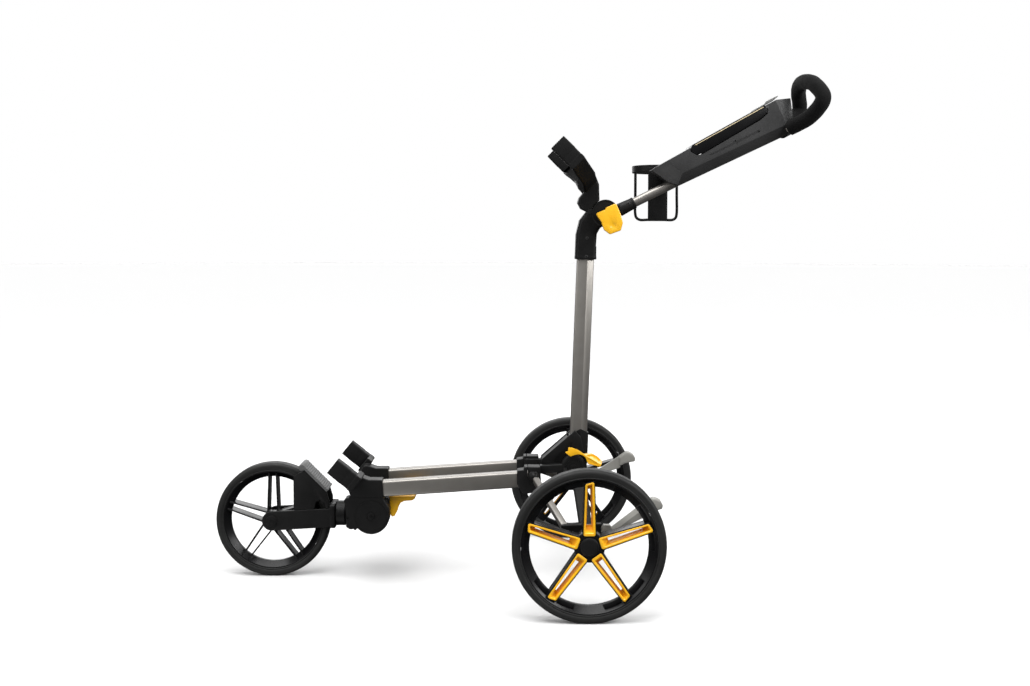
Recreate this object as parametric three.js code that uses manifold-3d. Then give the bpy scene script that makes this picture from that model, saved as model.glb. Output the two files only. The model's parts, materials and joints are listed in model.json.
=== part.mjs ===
// Folding three-wheel golf push trolley.
//
// Units are millimetres, +Z is up. The trolley rolls towards -X, the handle is at +X, and the
// left side is -Y. Inside this file X = 0 is the rear axle; the whole group is moved at the end
// so that the origin lies under the middle of the trolley, on the ground.
//
// Each named mesh is one physical piece. The long tubes are hollow extrusions, the moulded
// joints are joined and cut from simple solids, and left and right pieces are mirror images.

import * as THREE from 'three';
import { mergeVertices } from 'three/addons/utils/BufferGeometryUtils.js';
import Module from 'manifold-3d';

const wasm = await Module();
wasm.setup();

// ---------------------------------------------------------------- driving dimensions

const GAP = 0.3;
const ORIGIN_TO_REAR_AXLE = 134.5;

const REAR_WHEEL = { radius: 145, bead: 128.3, rimInner: 112, width: 30, y: 290, capRadius: 17.6 };
const FRONT_WHEEL = { radius: 121, bead: 104.3, rimInner: 91, width: 32, x: -652 };
const SPOKES = 5;
const RIM_HALF_WIDTH = 13;
const AXLE_RADIUS = 6;
const BORE_RADIUS = AXLE_RADIUS + GAP;

const RAIL = { y: 56, width: 25, height: 33, wall: 2, front: -425, rear: -95, slope: 0.0681 };
const RAIL_TOP_AT_REAR = 237;

const FRONT_PIVOT = { x: -436, z: 143 };
const MAST_PIVOT = { x: -14, z: 240 };
const HANDLE_PIVOT = { x: 52.5, z: 773.5 };
const LEG_HINGE = { y: 82, z: 229 };
const LATCH_PIVOT = { x: -406, z: 172 };
const PEDAL_PIVOT = { x: -19, z: 273 };
const LID_HINGE = { x: 231, z: 913 };
const HOLDER_PIVOT = { x: 168, z: 820 };

const MAST = { wall: 2, lean: 0.035, foot: -11.9, low: 246, high: 702 };
const HANDLE = { angle: 26.4, drop: 7.4, tubeRadius: 10, sleeveStart: 30, sleeveEnd: 66, end: 160 };
const CONSOLE_HALF_WIDTH = 40;
const CLEVIS_HALF_GAP = 14.8;

const WHEEL_SEGMENTS = 44;
const ROUND_SEGMENTS = 14;

// ---------------------------------------------------------------- materials

const paint = (color, roughness, metalness = 0) =>
  new THREE.MeshStandardMaterial({ color, roughness, metalness });

const TITANIUM = paint(0x6f6b66, 0.35, 0.8);
const BLACK_PLASTIC = paint(0x1e1e1e, 0.55);
const GLOSS_BLACK = paint(0x17171a, 0.25);
const TYRE_RUBBER = paint(0x2c2c2c, 0.85);
const YELLOW = paint(0xf0a81c, 0.4);
const GREY_PLASTIC = paint(0x8c8a85, 0.5);
const RIBBED_RUBBER = paint(0x5e5e5e, 0.8);
const CONSOLE_GREY = paint(0x383838, 0.5);
const STEEL = paint(0x9a9a98, 0.3, 0.9);
const FOAM = paint(0x191919, 0.95);

// ---------------------------------------------------------------- solids

const v = (x, y, z) => new THREE.Vector3(x, y, z);
const deg = THREE.MathUtils.degToRad;

// A welded copy of a geometry whose triangles face outwards.
function welded(geometry) {
  const bare = geometry.clone();
  bare.deleteAttribute('normal');
  bare.deleteAttribute('uv');
  const merged = mergeVertices(bare, 1e-4);
  const position = merged.attributes.position;
  const index = Array.from(merged.index.array);
  const [a, b, c] = [v(0, 0, 0), v(0, 0, 0), v(0, 0, 0)];
  let volume = 0;
  const kept = [];
  for (let i = 0; i < index.length; i += 3) {
    const [p, q, r] = index.slice(i, i + 3);
    if (p === q || q === r || r === p) continue;
    a.fromBufferAttribute(position, p);
    b.fromBufferAttribute(position, q);
    c.fromBufferAttribute(position, r);
    volume += a.dot(b.cross(c));
    kept.push(p, q, r);
  }
  if (volume < 0) {
    for (let i = 0; i < kept.length; i += 3) [kept[i], kept[i + 1]] = [kept[i + 1], kept[i]];
  }
  merged.setIndex(kept);
  return merged;
}

function toManifold(geometry) {
  const shell = welded(geometry);
  return new wasm.Manifold(new wasm.Mesh({
    numProp: 3,
    vertProperties: new Float32Array(shell.attributes.position.array),
    triVerts: new Uint32Array(shell.index.array),
  }));
}

function toGeometry(manifold) {
  const mesh = manifold.getMesh();
  const geometry = new THREE.BufferGeometry();
  geometry.setAttribute('position', new THREE.BufferAttribute(mesh.vertProperties, 3));
  geometry.setIndex(Array.from(mesh.triVerts));
  return geometry;
}

const join = (...solids) => toGeometry(solids.map(toManifold).reduce((a, b) => a.add(b)));

const cut = (solid, ...tools) =>
  toGeometry(tools.map(toManifold).reduce((a, b) => a.subtract(b), toManifold(solid)));

// The mirror image across the centre plane Y = 0.
function mirrored(geometry) {
  return welded(geometry.clone().scale(1, -1, 1));
}

// An outline of [x, z] points, or a Shape, carried across from y0 to y1.
function plate(outline, y0, y1) {
  const shape = outline instanceof THREE.Shape
    ? outline
    : new THREE.Shape(outline.map(([x, z]) => new THREE.Vector2(x, z)));
  const geometry = new THREE.ExtrudeGeometry(shape, {
    depth: y1 - y0, bevelEnabled: false, curveSegments: 10,
  });
  return geometry.rotateX(Math.PI / 2).translate(0, y1, 0);
}

// A straight round bar from p to q, with its radius at each end.
function bar(p, q, radius, endRadius = radius, segments = ROUND_SEGMENTS) {
  const length = p.distanceTo(q);
  const turn = new THREE.Quaternion().setFromUnitVectors(v(0, 1, 0), q.clone().sub(p).normalize());
  return new THREE.CylinderGeometry(endRadius, radius, length, segments)
    .applyQuaternion(turn)
    .translate((p.x + q.x) / 2, (p.y + q.y) / 2, (p.z + q.z) / 2);
}

const barY = (x, z, y0, y1, radius, segments = ROUND_SEGMENTS) =>
  bar(v(x, y0, z), v(x, y1, z), radius, radius, segments);

function ball(centre, radius) {
  return new THREE.SphereGeometry(radius, 12, 8).translate(centre.x, centre.y, centre.z);
}

function block(x0, x1, y0, y1, z0, z1) {
  return new THREE.BoxGeometry(x1 - x0, y1 - y0, z1 - z0)
    .translate((x0 + x1) / 2, (y0 + y1) / 2, (z0 + z1) / 2);
}

// One chamfered rectangle: half sizes a and b along the directions u and w.
function section(centre, u, w, a, b, chamfer) {
  const corners = [
    [a - chamfer, b], [a, b - chamfer], [a, chamfer - b], [a - chamfer, -b],
    [chamfer - a, -b], [-a, chamfer - b], [-a, b - chamfer], [chamfer - a, b],
  ];
  return corners.map(([s, t]) => centre.clone().addScaledVector(u, s).addScaledVector(w, t));
}

// The same rectangle square to a direction of travel, with a along the direction u.
function crossSection(centre, travel, u, a, b, chamfer) {
  return section(centre, u, travel.clone().cross(u).normalize(), a, b, chamfer);
}

// A closed skin through a row of sections that all have the same number of points.
function loft(sections) {
  const count = sections[0].length;
  const positions = sections.flat().flatMap((p) => p.toArray());
  const faces = [];
  for (let i = 0; i + 1 < sections.length; i += 1) {
    for (let j = 0; j < count; j += 1) {
      const here = i * count + j;
      const next = i * count + (j + 1) % count;
      faces.push(here, next, here + count, next, next + count, here + count);
    }
  }
  const last = (sections.length - 1) * count;
  for (let j = 1; j + 1 < count; j += 1) {
    faces.push(0, j + 1, j, last, last + j, last + j + 1);
  }
  const geometry = new THREE.BufferGeometry();
  geometry.setAttribute('position', new THREE.Float32BufferAttribute(positions, 3));
  geometry.setIndex(faces);
  return welded(geometry);
}

// A straight chamfered beam from p to q. The direction side spans its half width.
function beam(p, q, side, halfWidth, halfDepth, chamfer, endScale = 1) {
  const along = q.clone().sub(p).normalize();
  const u = side.clone().addScaledVector(along, -side.dot(along)).normalize();
  const w = along.clone().cross(u);
  const near = section(p, u, w, halfWidth, halfDepth, chamfer);
  const far = section(q, u, w, halfWidth * endScale, halfDepth * endScale, chamfer * endScale);
  return loft([near, far]);
}

// A hollow beam: the same beam with a thinner, longer one taken out of it.
function hollowBeam(p, q, side, halfWidth, halfDepth, chamfer, wall) {
  const along = q.clone().sub(p).normalize();
  const from = p.clone().addScaledVector(along, -1);
  const to = q.clone().addScaledVector(along, 1);
  const inside = beam(from, to, side, halfWidth - wall, halfDepth - wall, chamfer - wall / 2);
  return cut(beam(p, q, side, halfWidth, halfDepth, chamfer), inside);
}

// A ring about the Y axis from a closed profile of [radius, y] points.
function ring(profile, segments = WHEEL_SEGMENTS) {
  const points = [...profile, profile[0]].map(([r, y]) => new THREE.Vector2(r, y));
  return welded(new THREE.LatheGeometry(points, segments));
}

// A solid round section swept along a curve.
function sweep(curve, radius, steps, quarterPoints) {
  const circle = new THREE.Shape().absarc(0, 0, radius, 0, Math.PI * 2);
  return new THREE.ExtrudeGeometry(circle, {
    steps, extrudePath: curve, bevelEnabled: false, curveSegments: quarterPoints,
  });
}

const X_AXIS = v(1, 0, 0);
const Y_AXIS = v(0, 1, 0);

// A point in the handle's own frame: s along the tube from its foot, t above the tube's axis.
const handleAlong = v(Math.cos(deg(HANDLE.angle)), 0, Math.sin(deg(HANDLE.angle)));
const handleUp = v(-handleAlong.z, 0, handleAlong.x);
const handlePoint = (s, t = 0, y = 0) => v(HANDLE_PIVOT.x, y, HANDLE_PIVOT.z)
  .addScaledVector(handleAlong, s)
  .addScaledVector(handleUp, t - HANDLE.drop);

const mastPoint = (z) => v(MAST.foot + MAST.lean * z, 0, z);

// The mast's six-sided section at a height, widest at a crease behind its middle. It can be
// grown for a sleeve around the tube, or shrunk for the inside of the tube.
function mastSection(z, grow = 0) {
  const corners = [[-18, -9.5], [3.5, -14], [18, -8.5], [18, 8.5], [3.5, 14], [-18, 9.5]];
  return corners.map(([x, y]) =>
    mastPoint(z).add(v(x * (1 + grow / 18), y * (1 + grow / 14), 0)));
}
const railTop = (x) => RAIL_TOP_AT_REAR + RAIL.slope * (x - RAIL.rear);
const railPoint = (x, y) => v(x, y, railTop(x) - RAIL.height / 2);

// ---------------------------------------------------------------- the trolley

const trolley = new THREE.Group();

function add(name, geometry, material) {
  const mesh = new THREE.Mesh(geometry, material);
  mesh.name = name;
  trolley.add(mesh);
}

// The same piece on the left, where it is drawn, and mirrored on the right.
function addPair(leftName, rightName, geometry, material) {
  add(leftName, geometry, material);
  add(rightName, mirrored(geometry), material);
}

// ---------------------------------------------------------------- wheels

function tyre(radius, bead, width) {
  const half = width / 2;
  return ring([
    [bead, -half + 1], [radius - 5, -half], [radius, -half + 8],
    [radius, half - 8], [radius - 5, half], [bead, half - 1],
  ]);
}

// The four-sided outline of a spoke that narrows from the hub to the rim. Its outer end is cut
// at a slant, so that one corner reaches further out than the other.
const spokeOutline = (r0, r1, halfHub, halfRim, slant = 0) =>
  [[r0, -halfHub], [r1 + slant, -halfRim], [r1 - slant, halfRim], [r0, halfHub]];

// Copies of a piece drawn along +X, turned to each spoke. The first spoke points up.
function aroundHub(make) {
  return Array.from({ length: SPOKES }, (_, i) =>
    make().rotateY(-Math.PI / 2 - (i * 2 * Math.PI) / SPOKES));
}

// A rim's band: thin at both edges, and sloping in on both sides to a narrow flat in the middle.
function rimBand({ bead, rimInner: inner }) {
  const half = RIM_HALF_WIDTH;
  const outer = bead - GAP;
  return ring([
    [outer, -half], [outer, half], [outer - 3, half], [inner, 3], [inner, -3], [outer - 3, -half],
  ]);
}

function rearRim() {
  const half = RIM_HALF_WIDTH;
  const hub = barY(0, 0, -half, half + 2, 29, 20);
  const troughs = aroundHub(() => plate(spokeOutline(15, 122.5, 13.5, 10, 2.5), -half, half));
  const slots = aroundHub(() => plate(spokeOutline(18.7, 121, 11.8, 8.5, 2.5), -half - 1, half - 2));
  const windows = aroundHub(() => plate(spokeOutline(40, 108, 6, 4), half - 4, half + 4));
  const capSeat = barY(0, 0, -half - 1, -8.5, 19.8, 20);
  const bore = barY(0, 0, -20, 20, BORE_RADIUS);
  return cut(join(rimBand(REAR_WHEEL), hub, ...troughs), ...slots, ...windows, capSeat, bore);
}

// The coloured inserts of the five spokes, held together by a ring under the hub cap.
function spokeTrim() {
  const boxes = aroundHub(() => plate(spokeOutline(19, 120.6, 11.5, 8.2, 2.4), -12.6, 9));
  const openings = aroundHub(() => plate(spokeOutline(26, 116.5, 7.5, 4.5, 1.5), -14, 5));
  const backs = aroundHub(() => plate(spokeOutline(42, 107, 4, 2.5), 0, 12));
  const seat = barY(0, 0, -11.8, -8.8, 19.4, 20);
  const bore = barY(0, 0, -20, 20, 8);
  return cut(join(seat, ...boxes), ...openings, ...backs, bore);
}

function hubCap() {
  return bar(v(0, -12.1, 0), v(0, -15, 0), REAR_WHEEL.capRadius, 15.5, 24);
}

function rearAxle() {
  const shaft = barY(0, 0, -11, 52, AXLE_RADIUS);
  return join(shaft, barY(0, 0, 16, 20, 9));
}

function addRearWheel(side, sign) {
  const pieces = [
    ['tyre', tyre(REAR_WHEEL.radius, REAR_WHEEL.bead, REAR_WHEEL.width), TYRE_RUBBER],
    ['rim', rearRim(), GLOSS_BLACK],
    ['spoke_trim', spokeTrim(), YELLOW],
    ['hub_cap', hubCap(), BLACK_PLASTIC],
    ['axle', rearAxle(), STEEL],
  ];
  for (const [piece, geometry, material] of pieces) {
    const placed = geometry.translate(0, -REAR_WHEEL.y, REAR_WHEEL.radius);
    add(`rear_${side}_${piece}`, sign < 0 ? placed : mirrored(placed), material);
  }
}

function frontRim() {
  const hub = barY(0, 0, -16, 16, 16, 18);
  const blade = [[8, -12.6], [98, -9.2], [98, -5.9], [8, -9.2]];
  const otherBlade = blade.map(([x, z]) => [x, -z]).reverse();
  const blades = aroundHub(() => join(plate(blade, -10, 10), plate(otherBlade, -10, 10)));
  return cut(join(rimBand(FRONT_WHEEL), hub, ...blades), barY(0, 0, -20, 20, BORE_RADIUS));
}

function addFrontWheel() {
  const place = (geometry) => geometry.translate(FRONT_WHEEL.x, 0, FRONT_WHEEL.radius);
  add('front_tyre', place(tyre(FRONT_WHEEL.radius, FRONT_WHEEL.bead, FRONT_WHEEL.width)), TYRE_RUBBER);
  add('front_rim', place(frontRim()), GLOSS_BLACK);
  const heads = [barY(0, 0, -30.5, -27.4, 9), barY(0, 0, 27.4, 30.5, 9)];
  add('front_axle', place(join(barY(0, 0, -30, 30, AXLE_RADIUS), ...heads)), STEEL);
}

// ---------------------------------------------------------------- front fork and knuckle

const FORK = { inner: 19, outer: 27, endRadius: 20.5, armEnd: -526, rear: -518, top: 148, bottom: 108 };
const BRIDGE = { front: -529.5, halfWidth: 28, top: 157, bottom: 105 };
const NECK_Z = 132.5;

function forkArm() {
  const axle = { x: FRONT_WHEEL.x, z: FRONT_WHEEL.radius };
  const shape = new THREE.Shape();
  shape.moveTo(axle.x, axle.z + FORK.endRadius);
  shape.absarc(axle.x, axle.z, FORK.endRadius, Math.PI / 2, (Math.PI * 3) / 2);
  shape.lineTo(FORK.armEnd, FORK.bottom);
  shape.lineTo(FORK.armEnd, FORK.top);
  return plate(shape, -FORK.outer, -FORK.inner);
}

function frontFork() {
  const arm = forkArm();
  const bridge = block(BRIDGE.front, FORK.rear, -BRIDGE.halfWidth, BRIDGE.halfWidth,
    BRIDGE.bottom, BRIDGE.top);
  const axleBore = barY(FRONT_WHEEL.x, FRONT_WHEEL.radius, -40, 40, BORE_RADIUS);
  return cut(join(arm, mirrored(arm), bridge), axleBore);
}

// The turned collar between the fork and the knuckle, which sets the tracking.
function trackingCollar() {
  const wide = bar(v(FORK.rear + GAP, 0, NECK_Z), v(-497, 0, NECK_Z), 26, 26, 24);
  return join(wide, bar(v(-498, 0, NECK_Z), v(-486.3, 0, NECK_Z), 22, 22, 20));
}

function frontKnuckle() {
  const disc = barY(FRONT_PIVOT.x, FRONT_PIVOT.z, -41, 41, 33, 28);
  const root = beam(v(-486, 0, 135), v(-440, 0, 135), Y_AXIS, 26, 24, 8);
  const shoulder = barY(-469, 157, -26, 26, 14);
  const bore = barY(FRONT_PIVOT.x, FRONT_PIVOT.z, -60, 60, BORE_RADIUS);
  return cut(join(disc, root, shoulder), bore);
}

// The pad that a bag's base stands on: its middle, and its directions along and across.
const BASE_PAD = { x: -560.1, z: 212.9, length: 76, thickness: 6, halfWidth: 28 };
const BASE_ROLL = { along: -35, out: -4, radius: 7 };
const padAlong = v(Math.SQRT1_2, 0, -Math.SQRT1_2);
const padNormal = v(Math.SQRT1_2, 0, Math.SQRT1_2);
const padPoint = (s, t) => v(BASE_PAD.x, 0, BASE_PAD.z)
  .addScaledVector(padAlong, s)
  .addScaledVector(padNormal, t);

function bagBasePad() {
  const half = BASE_PAD.length / 2;
  const slab = beam(padPoint(-half, 0), padPoint(half, 0), Y_AXIS, BASE_PAD.halfWidth,
    BASE_PAD.thickness / 2, 1);
  const roll = padPoint(BASE_ROLL.along, BASE_ROLL.out);
  return join(slab, barY(roll.x, roll.z, -BASE_PAD.halfWidth, BASE_PAD.halfWidth, BASE_ROLL.radius));
}

function bagBaseBracket() {
  const armStart = FRONT_WHEEL.radius + FORK.endRadius;
  const armRise = (FORK.top - armStart) / (FORK.armEnd - FRONT_WHEEL.x);
  const onArm = (x) => [x, armStart + armRise * (x - FRONT_WHEEL.x) + GAP];
  const cheek = plate([
    onArm(-605.5), [-605.5, 213.1], [-596, 222.5], [-588, 226.3], [-580.8, 228.9], [-536.2, 184.4],
    [-530, 163], onArm(-530), onArm(-537), [-540, 160], [-549, 166.5], [-558, 161], onArm(-561),
  ], -26.8, -19.5);
  const under = -BASE_PAD.thickness / 2 - GAP - 1.5;
  const shelf = beam(padPoint(-27, under), padPoint(37, under), Y_AXIS, 26, 1.5, 0.6);
  return join(cheek, mirrored(cheek), shelf);
}

function addFrontArm() {
  add('front_fork', frontFork(), BLACK_PLASTIC);
  add('tracking_collar', trackingCollar(), BLACK_PLASTIC);
  add('front_knuckle', frontKnuckle(), BLACK_PLASTIC);
  add('tracking_knob', bar(v(-487, 0, 110.2), v(-487, 0, 98), 7.5, 6.5, 16), BLACK_PLASTIC);
  add('bag_base_bracket', bagBaseBracket(), BLACK_PLASTIC);
  add('bag_base_pad', bagBasePad(), RIBBED_RUBBER);
}

// ---------------------------------------------------------------- front housings, lower cradle

const bagAlong = v(0.629, 0, 0.777).normalize();
const bagOut = v(-bagAlong.z, 0, bagAlong.x);

// A cradle block: it stands out towards the bag from the middle of its foot.
function cradlePad(foot, out, length) {
  const tip = foot.clone().addScaledVector(out, length);
  return beam(foot.clone().addScaledVector(out, GAP), tip, Y_AXIS, 12, 18, 4, 0.96);
}

const LOWER_PAD_FOOT = v(-471, -99, 224);

function frontHousing() {
  const outline = [
    [-484, 200], [-466, 224], [-457, 225], [-440, 219], [-412.5, 219], [-410, 180], [-399.5, 162],
    [-396.5, 150], [-436, 143], [-470, 112], [-472.7, 118], [-485, 118], [-488, 121], [-488, 174],
    [-479, 186],
  ];
  const body = plate(outline, -72, -41.6);
  const disc = barY(FRONT_PIVOT.x, FRONT_PIVOT.z, -72, -41.6, 38, 32);
  const armLine = LOWER_PAD_FOOT.clone().addScaledVector(bagOut, -7);
  const arm = beam(v(armLine.x, -60, armLine.z), v(armLine.x, -111, armLine.z), bagAlong, 18, 6.8, 3);
  const pocket = beam(railPoint(-428, -RAIL.y), railPoint(-400, -RAIL.y), Y_AXIS,
    RAIL.width / 2 + GAP, RAIL.height / 2 + GAP, 4);
  const pin = barY(FRONT_PIVOT.x, FRONT_PIVOT.z, -90, -30, BORE_RADIUS);
  const latchPin = barY(LATCH_PIVOT.x, LATCH_PIVOT.z, -50, -30, 4.3);
  const bump = barY(-485, 174, -72, -41.6, 7);
  const latchBoss = barY(LATCH_PIVOT.x, LATCH_PIVOT.z, -58, -41.6, 7);
  return cut(join(body, disc, arm, bump, latchBoss), pocket, pin, latchPin);
}

// A forked lever: two hooks behind the knuckle's disc, joined by the finger tab.
function latchLever() {
  const outline = [
    [-406, 178], [-388.7, 177.7], [-370, 177.7], [-370.1, 167.1], [-381, 161.4], [-384.1, 147.3],
    [-390.3, 135.5], [-395.9, 133.9], [-399.6, 139.5], [-401.1, 153.6], [-399, 165], [-406, 166.5],
  ];
  const hook = join(plate(outline, -40, -28), barY(LATCH_PIVOT.x, LATCH_PIVOT.z, -40, -28, 6));
  const tab = plate([[-380, 177.7], [-348.4, 177.7], [-346.9, 173], [-353.1, 168.6], [-370.1, 167.1],
    [-380, 167]], -40, 40);
  const bore = barY(LATCH_PIVOT.x, LATCH_PIVOT.z, -60, 60, 4.3);
  return cut(join(hook, mirrored(hook), tab), bore);
}

function addFrontHousings() {
  addPair('front_housing_left', 'front_housing_right', frontHousing(), BLACK_PLASTIC);
  addPair('lower_cradle_pad_left', 'lower_cradle_pad_right',
    cradlePad(LOWER_PAD_FOOT, bagOut, 50), RIBBED_RUBBER);
  const pin = barY(FRONT_PIVOT.x, FRONT_PIVOT.z, -74, 74, AXLE_RADIUS);
  const head = barY(FRONT_PIVOT.x, FRONT_PIVOT.z, -74.5, -72.4, 9);
  const nut = barY(FRONT_PIVOT.x, FRONT_PIVOT.z, 72.4, 74.5, 9);
  add('front_pivot_pin', join(pin, head, nut), STEEL);
  add('front_latch_lever', latchLever(), YELLOW);
  add('front_latch_pin', barY(LATCH_PIVOT.x, LATCH_PIVOT.z, -49, 49, 4), STEEL);
}

// ---------------------------------------------------------------- rails, rear clamps, rear hub

function rail() {
  return hollowBeam(railPoint(RAIL.front, -RAIL.y), railPoint(RAIL.rear, -RAIL.y), Y_AXIS,
    RAIL.width / 2, RAIL.height / 2, 4, RAIL.wall);
}

const STRUT_BALL = v(-99, -LEG_HINGE.y, LEG_HINGE.z);

function rearClamp() {
  const outline = [
    [-133, 238], [-119, 240], [-118, 246], [-85, 246], [-83, 216], [-98, 192], [-120, 189], [-133, 210],
  ];
  const body = plate(outline, -71, -42.6);
  const pocket = beam(railPoint(-140, -RAIL.y), railPoint(RAIL.rear + 1, -RAIL.y), Y_AXIS,
    RAIL.width / 2 + GAP, RAIL.height / 2 + GAP, 4);
  const stud = bar(v(STRUT_BALL.x, -70, STRUT_BALL.z), STRUT_BALL, 3.5);
  return join(cut(body, pocket), stud, ball(STRUT_BALL, 8.5));
}

function hubSide() {
  const link = beam(v(-84.5, -34.2, 234.5), v(-14, -34.2, 239), Y_AXIS, 7.7, 8.5, 2);
  const foot = block(-116, -82.6, -42, -34, 225, 241);
  const dome = barY(MAST_PIVOT.x, MAST_PIVOT.z, -42, -26, 25.5, 24);
  const shelf = block(-36, 20, -60, -34, 217, 229);
  const ears = [-36, 13.5].map((x) => block(x, x + 7, -94, -50, 217, 241));
  const hingePin = bar(v(-50, -LEG_HINGE.y, LEG_HINGE.z), v(40, -LEG_HINGE.y, LEG_HINGE.z), 5.3);
  return cut(join(link, foot, dome, shelf, ...ears), hingePin);
}

function rearHub() {
  const side = hubSide();
  const crossTube = barY(6, 214, -58, 58, 9);
  const pedalLug = barY(PEDAL_PIVOT.x, PEDAL_PIVOT.z, -31.5, -26, 6);
  const lugFoot = plate([[-25, 273], [-30, 245], [-14, 250], [-13, 273]], -31.5, -26);
  const solid = join(side, mirrored(side), crossTube, pedalLug, lugFoot);
  return cut(solid, barY(MAST_PIVOT.x, MAST_PIVOT.z, -60, 60, BORE_RADIUS),
    barY(PEDAL_PIVOT.x, PEDAL_PIVOT.z, -60, -20, 3.3));
}

// The foot pedal behind the mast: one arm outside the left dome, and a tread that narrows
// towards the centre plane.
function releasePedal() {
  const near = -46.6;
  const arm = plate([
    [-33, 272.5], [-26, 273.5], [-25.2, 281.8], [-17, 281.2], [-5, 276.7], [5, 270], [12, 265],
    [12, 260], [4, 266], [-4, 267.8], [-12, 266.6], [-20.4, 263.3], [-25, 266],
  ], near, -42.4);
  const stub = barY(PEDAL_PIVOT.x, PEDAL_PIVOT.z, -46, -26.5, 3);
  const across = (outline, y) => outline.map(([x, z]) => v(x, y, z));
  const tread = loft([
    across([[4.8, 269.6], [39.7, 248.5], [44.5, 247], [41.5, 241], [15.6, 247.6], [9.3, 264]], near),
    across([[26, 262.5], [39, 255.6], [50, 244.5], [47, 239], [29, 245], [25.5, 256]], -4),
  ]);
  return join(arm, stub, tread);
}

function addRearFrame() {
  addPair('rail_left', 'rail_right', rail(), TITANIUM);
  addPair('rear_clamp_left', 'rear_clamp_right', rearClamp(), BLACK_PLASTIC);
  add('rear_hub', rearHub(), BLACK_PLASTIC);
  add('mast_pivot_pin', barY(MAST_PIVOT.x, MAST_PIVOT.z, -42, 42, AXLE_RADIUS), STEEL);
  add('rear_release_pedal', releasePedal(), YELLOW);
}

// ---------------------------------------------------------------- rear wheel carriers

const STRUT_FOOT = v(-42, -234.3, 163);
const STAND = { root: 26, shearFrom: 30, inwards: 18 / 82 };

function carrierLeg() {
  const root = bar(v(-28.5, -LEG_HINGE.y, LEG_HINGE.z), v(13, -LEG_HINGE.y, LEG_HINGE.z), 11.5);
  const column = beam(v(-6, -LEG_HINGE.y - 2, 226), v(-1, -246, 153), X_AXIS, 13.5, 11, 3, 0.85);
  const hubBoss = barY(0, REAR_WHEEL.radius, -262, -236, 20, 20);
  const wing = plate([[-50, 172], [-50, 157], [-12, 134], [12, 134], [38, 158], [38, 176]], -250, -238);
  const hinge = bar(v(-60, -LEG_HINGE.y, LEG_HINGE.z), v(60, -LEG_HINGE.y, LEG_HINGE.z), 5.3);
  const bore = barY(0, REAR_WHEEL.radius, -300, -200, BORE_RADIUS);
  const standSeat = block(STAND.root - GAP, 60, -251, -235.5, 150, 190);
  return cut(join(root, column, hubBoss, wing), hinge, bore, standSeat);
}

function strut() {
  const cup = cut(ball(STRUT_BALL, 11), ball(STRUT_BALL, 9),
    block(STRUT_BALL.x - 20, STRUT_BALL.x + 20, STRUT_BALL.y + 3, STRUT_BALL.y + 30, 200, 260));
  const along = STRUT_FOOT.clone().sub(STRUT_BALL).normalize();
  return join(cup, bar(STRUT_BALL.clone().addScaledVector(along, 9.8), STRUT_FOOT, 6.5));
}

// The stand that the folded trolley rests on: a flat arm that leans in towards the centre plane
// as it runs back, and a thick foot on its end.
function stand() {
  const arm = plate([
    [STAND.root, 164], [31, 172.5], [43, 171.3], [47, 166], [110, 210], [114, 200], [112, 184],
    [107, 181], [92, 174.6], [50, 156.5], [30, 152], [STAND.root, 156],
  ], -249, -237);
  const foot = plate([
    [109, 207], [127, 220], [133, 219.5], [143, 214], [147, 205.5], [145.3, 199], [133, 196.5],
    [121.5, 193], [111, 186],
  ], -258.5, -234.5);
  const shear = new THREE.Matrix4().makeShear(STAND.inwards, 0, 0, 0, 0, 0);
  shear.setPosition(0, -STAND.inwards * STAND.shearFrom, 0);
  return join(arm, foot).applyMatrix4(shear);
}

function addCarriers() {
  addPair('carrier_leg_left', 'carrier_leg_right', carrierLeg(), BLACK_PLASTIC);
  addPair('strut_left', 'strut_right', strut(), TITANIUM);
  addPair('stand_left', 'stand_right', stand(), GREY_PLASTIC);
  const pin = bar(v(-39, -LEG_HINGE.y, LEG_HINGE.z), v(24, -LEG_HINGE.y, LEG_HINGE.z), 5);
  addPair('leg_hinge_pin_left', 'leg_hinge_pin_right', pin, STEEL);
}

// ---------------------------------------------------------------- mast, elbow, upper cradle

function mastShoe() {
  const sleeve = loft([mastSection(240, 2.6), mastSection(316, 2.6)]);
  const peak = mastPoint(316).x + 3.5;
  const frontSlope = plate([[-50, 291], [peak, 316], [peak, 330], [-50, 330]], -40, 40);
  const rearSlope = plate([[50, 296], [50, 330], [peak, 330], [peak, 316]], -40, 40);
  const pocket = loft([mastSection(MAST.low - GAP, GAP), mastSection(330, GAP)]);
  const cheek = plate([[-14, 224], [-62, 237], [-82, 246], [-80, 253], [-10, 314], [2, 300], [14, 240]],
    -23.5, -16.9);
  const web = beam(v(-79, 0, 249), v(-24, 0, 297), Y_AXIS, 20, 2, 0.5);
  const boss = barY(MAST_PIVOT.x, MAST_PIVOT.z, -25.5, 25.5, 19, 20);
  const bore = barY(MAST_PIVOT.x, MAST_PIVOT.z, -40, 40, BORE_RADIUS);
  const body = cut(join(cut(sleeve, frontSlope, rearSlope), boss), pocket);
  return cut(join(body, cheek, mirrored(cheek), web), bore);
}

function mastTube() {
  const inside = barY(MAST_PIVOT.x, MAST_PIVOT.z, -40, 40, 19.4, 20);
  const hollow = loft([mastSection(MAST.low - 1, -MAST.wall), mastSection(MAST.high + 1, -MAST.wall)]);
  return cut(loft([mastSection(MAST.low), mastSection(MAST.high)]), hollow, inside);
}

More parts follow.
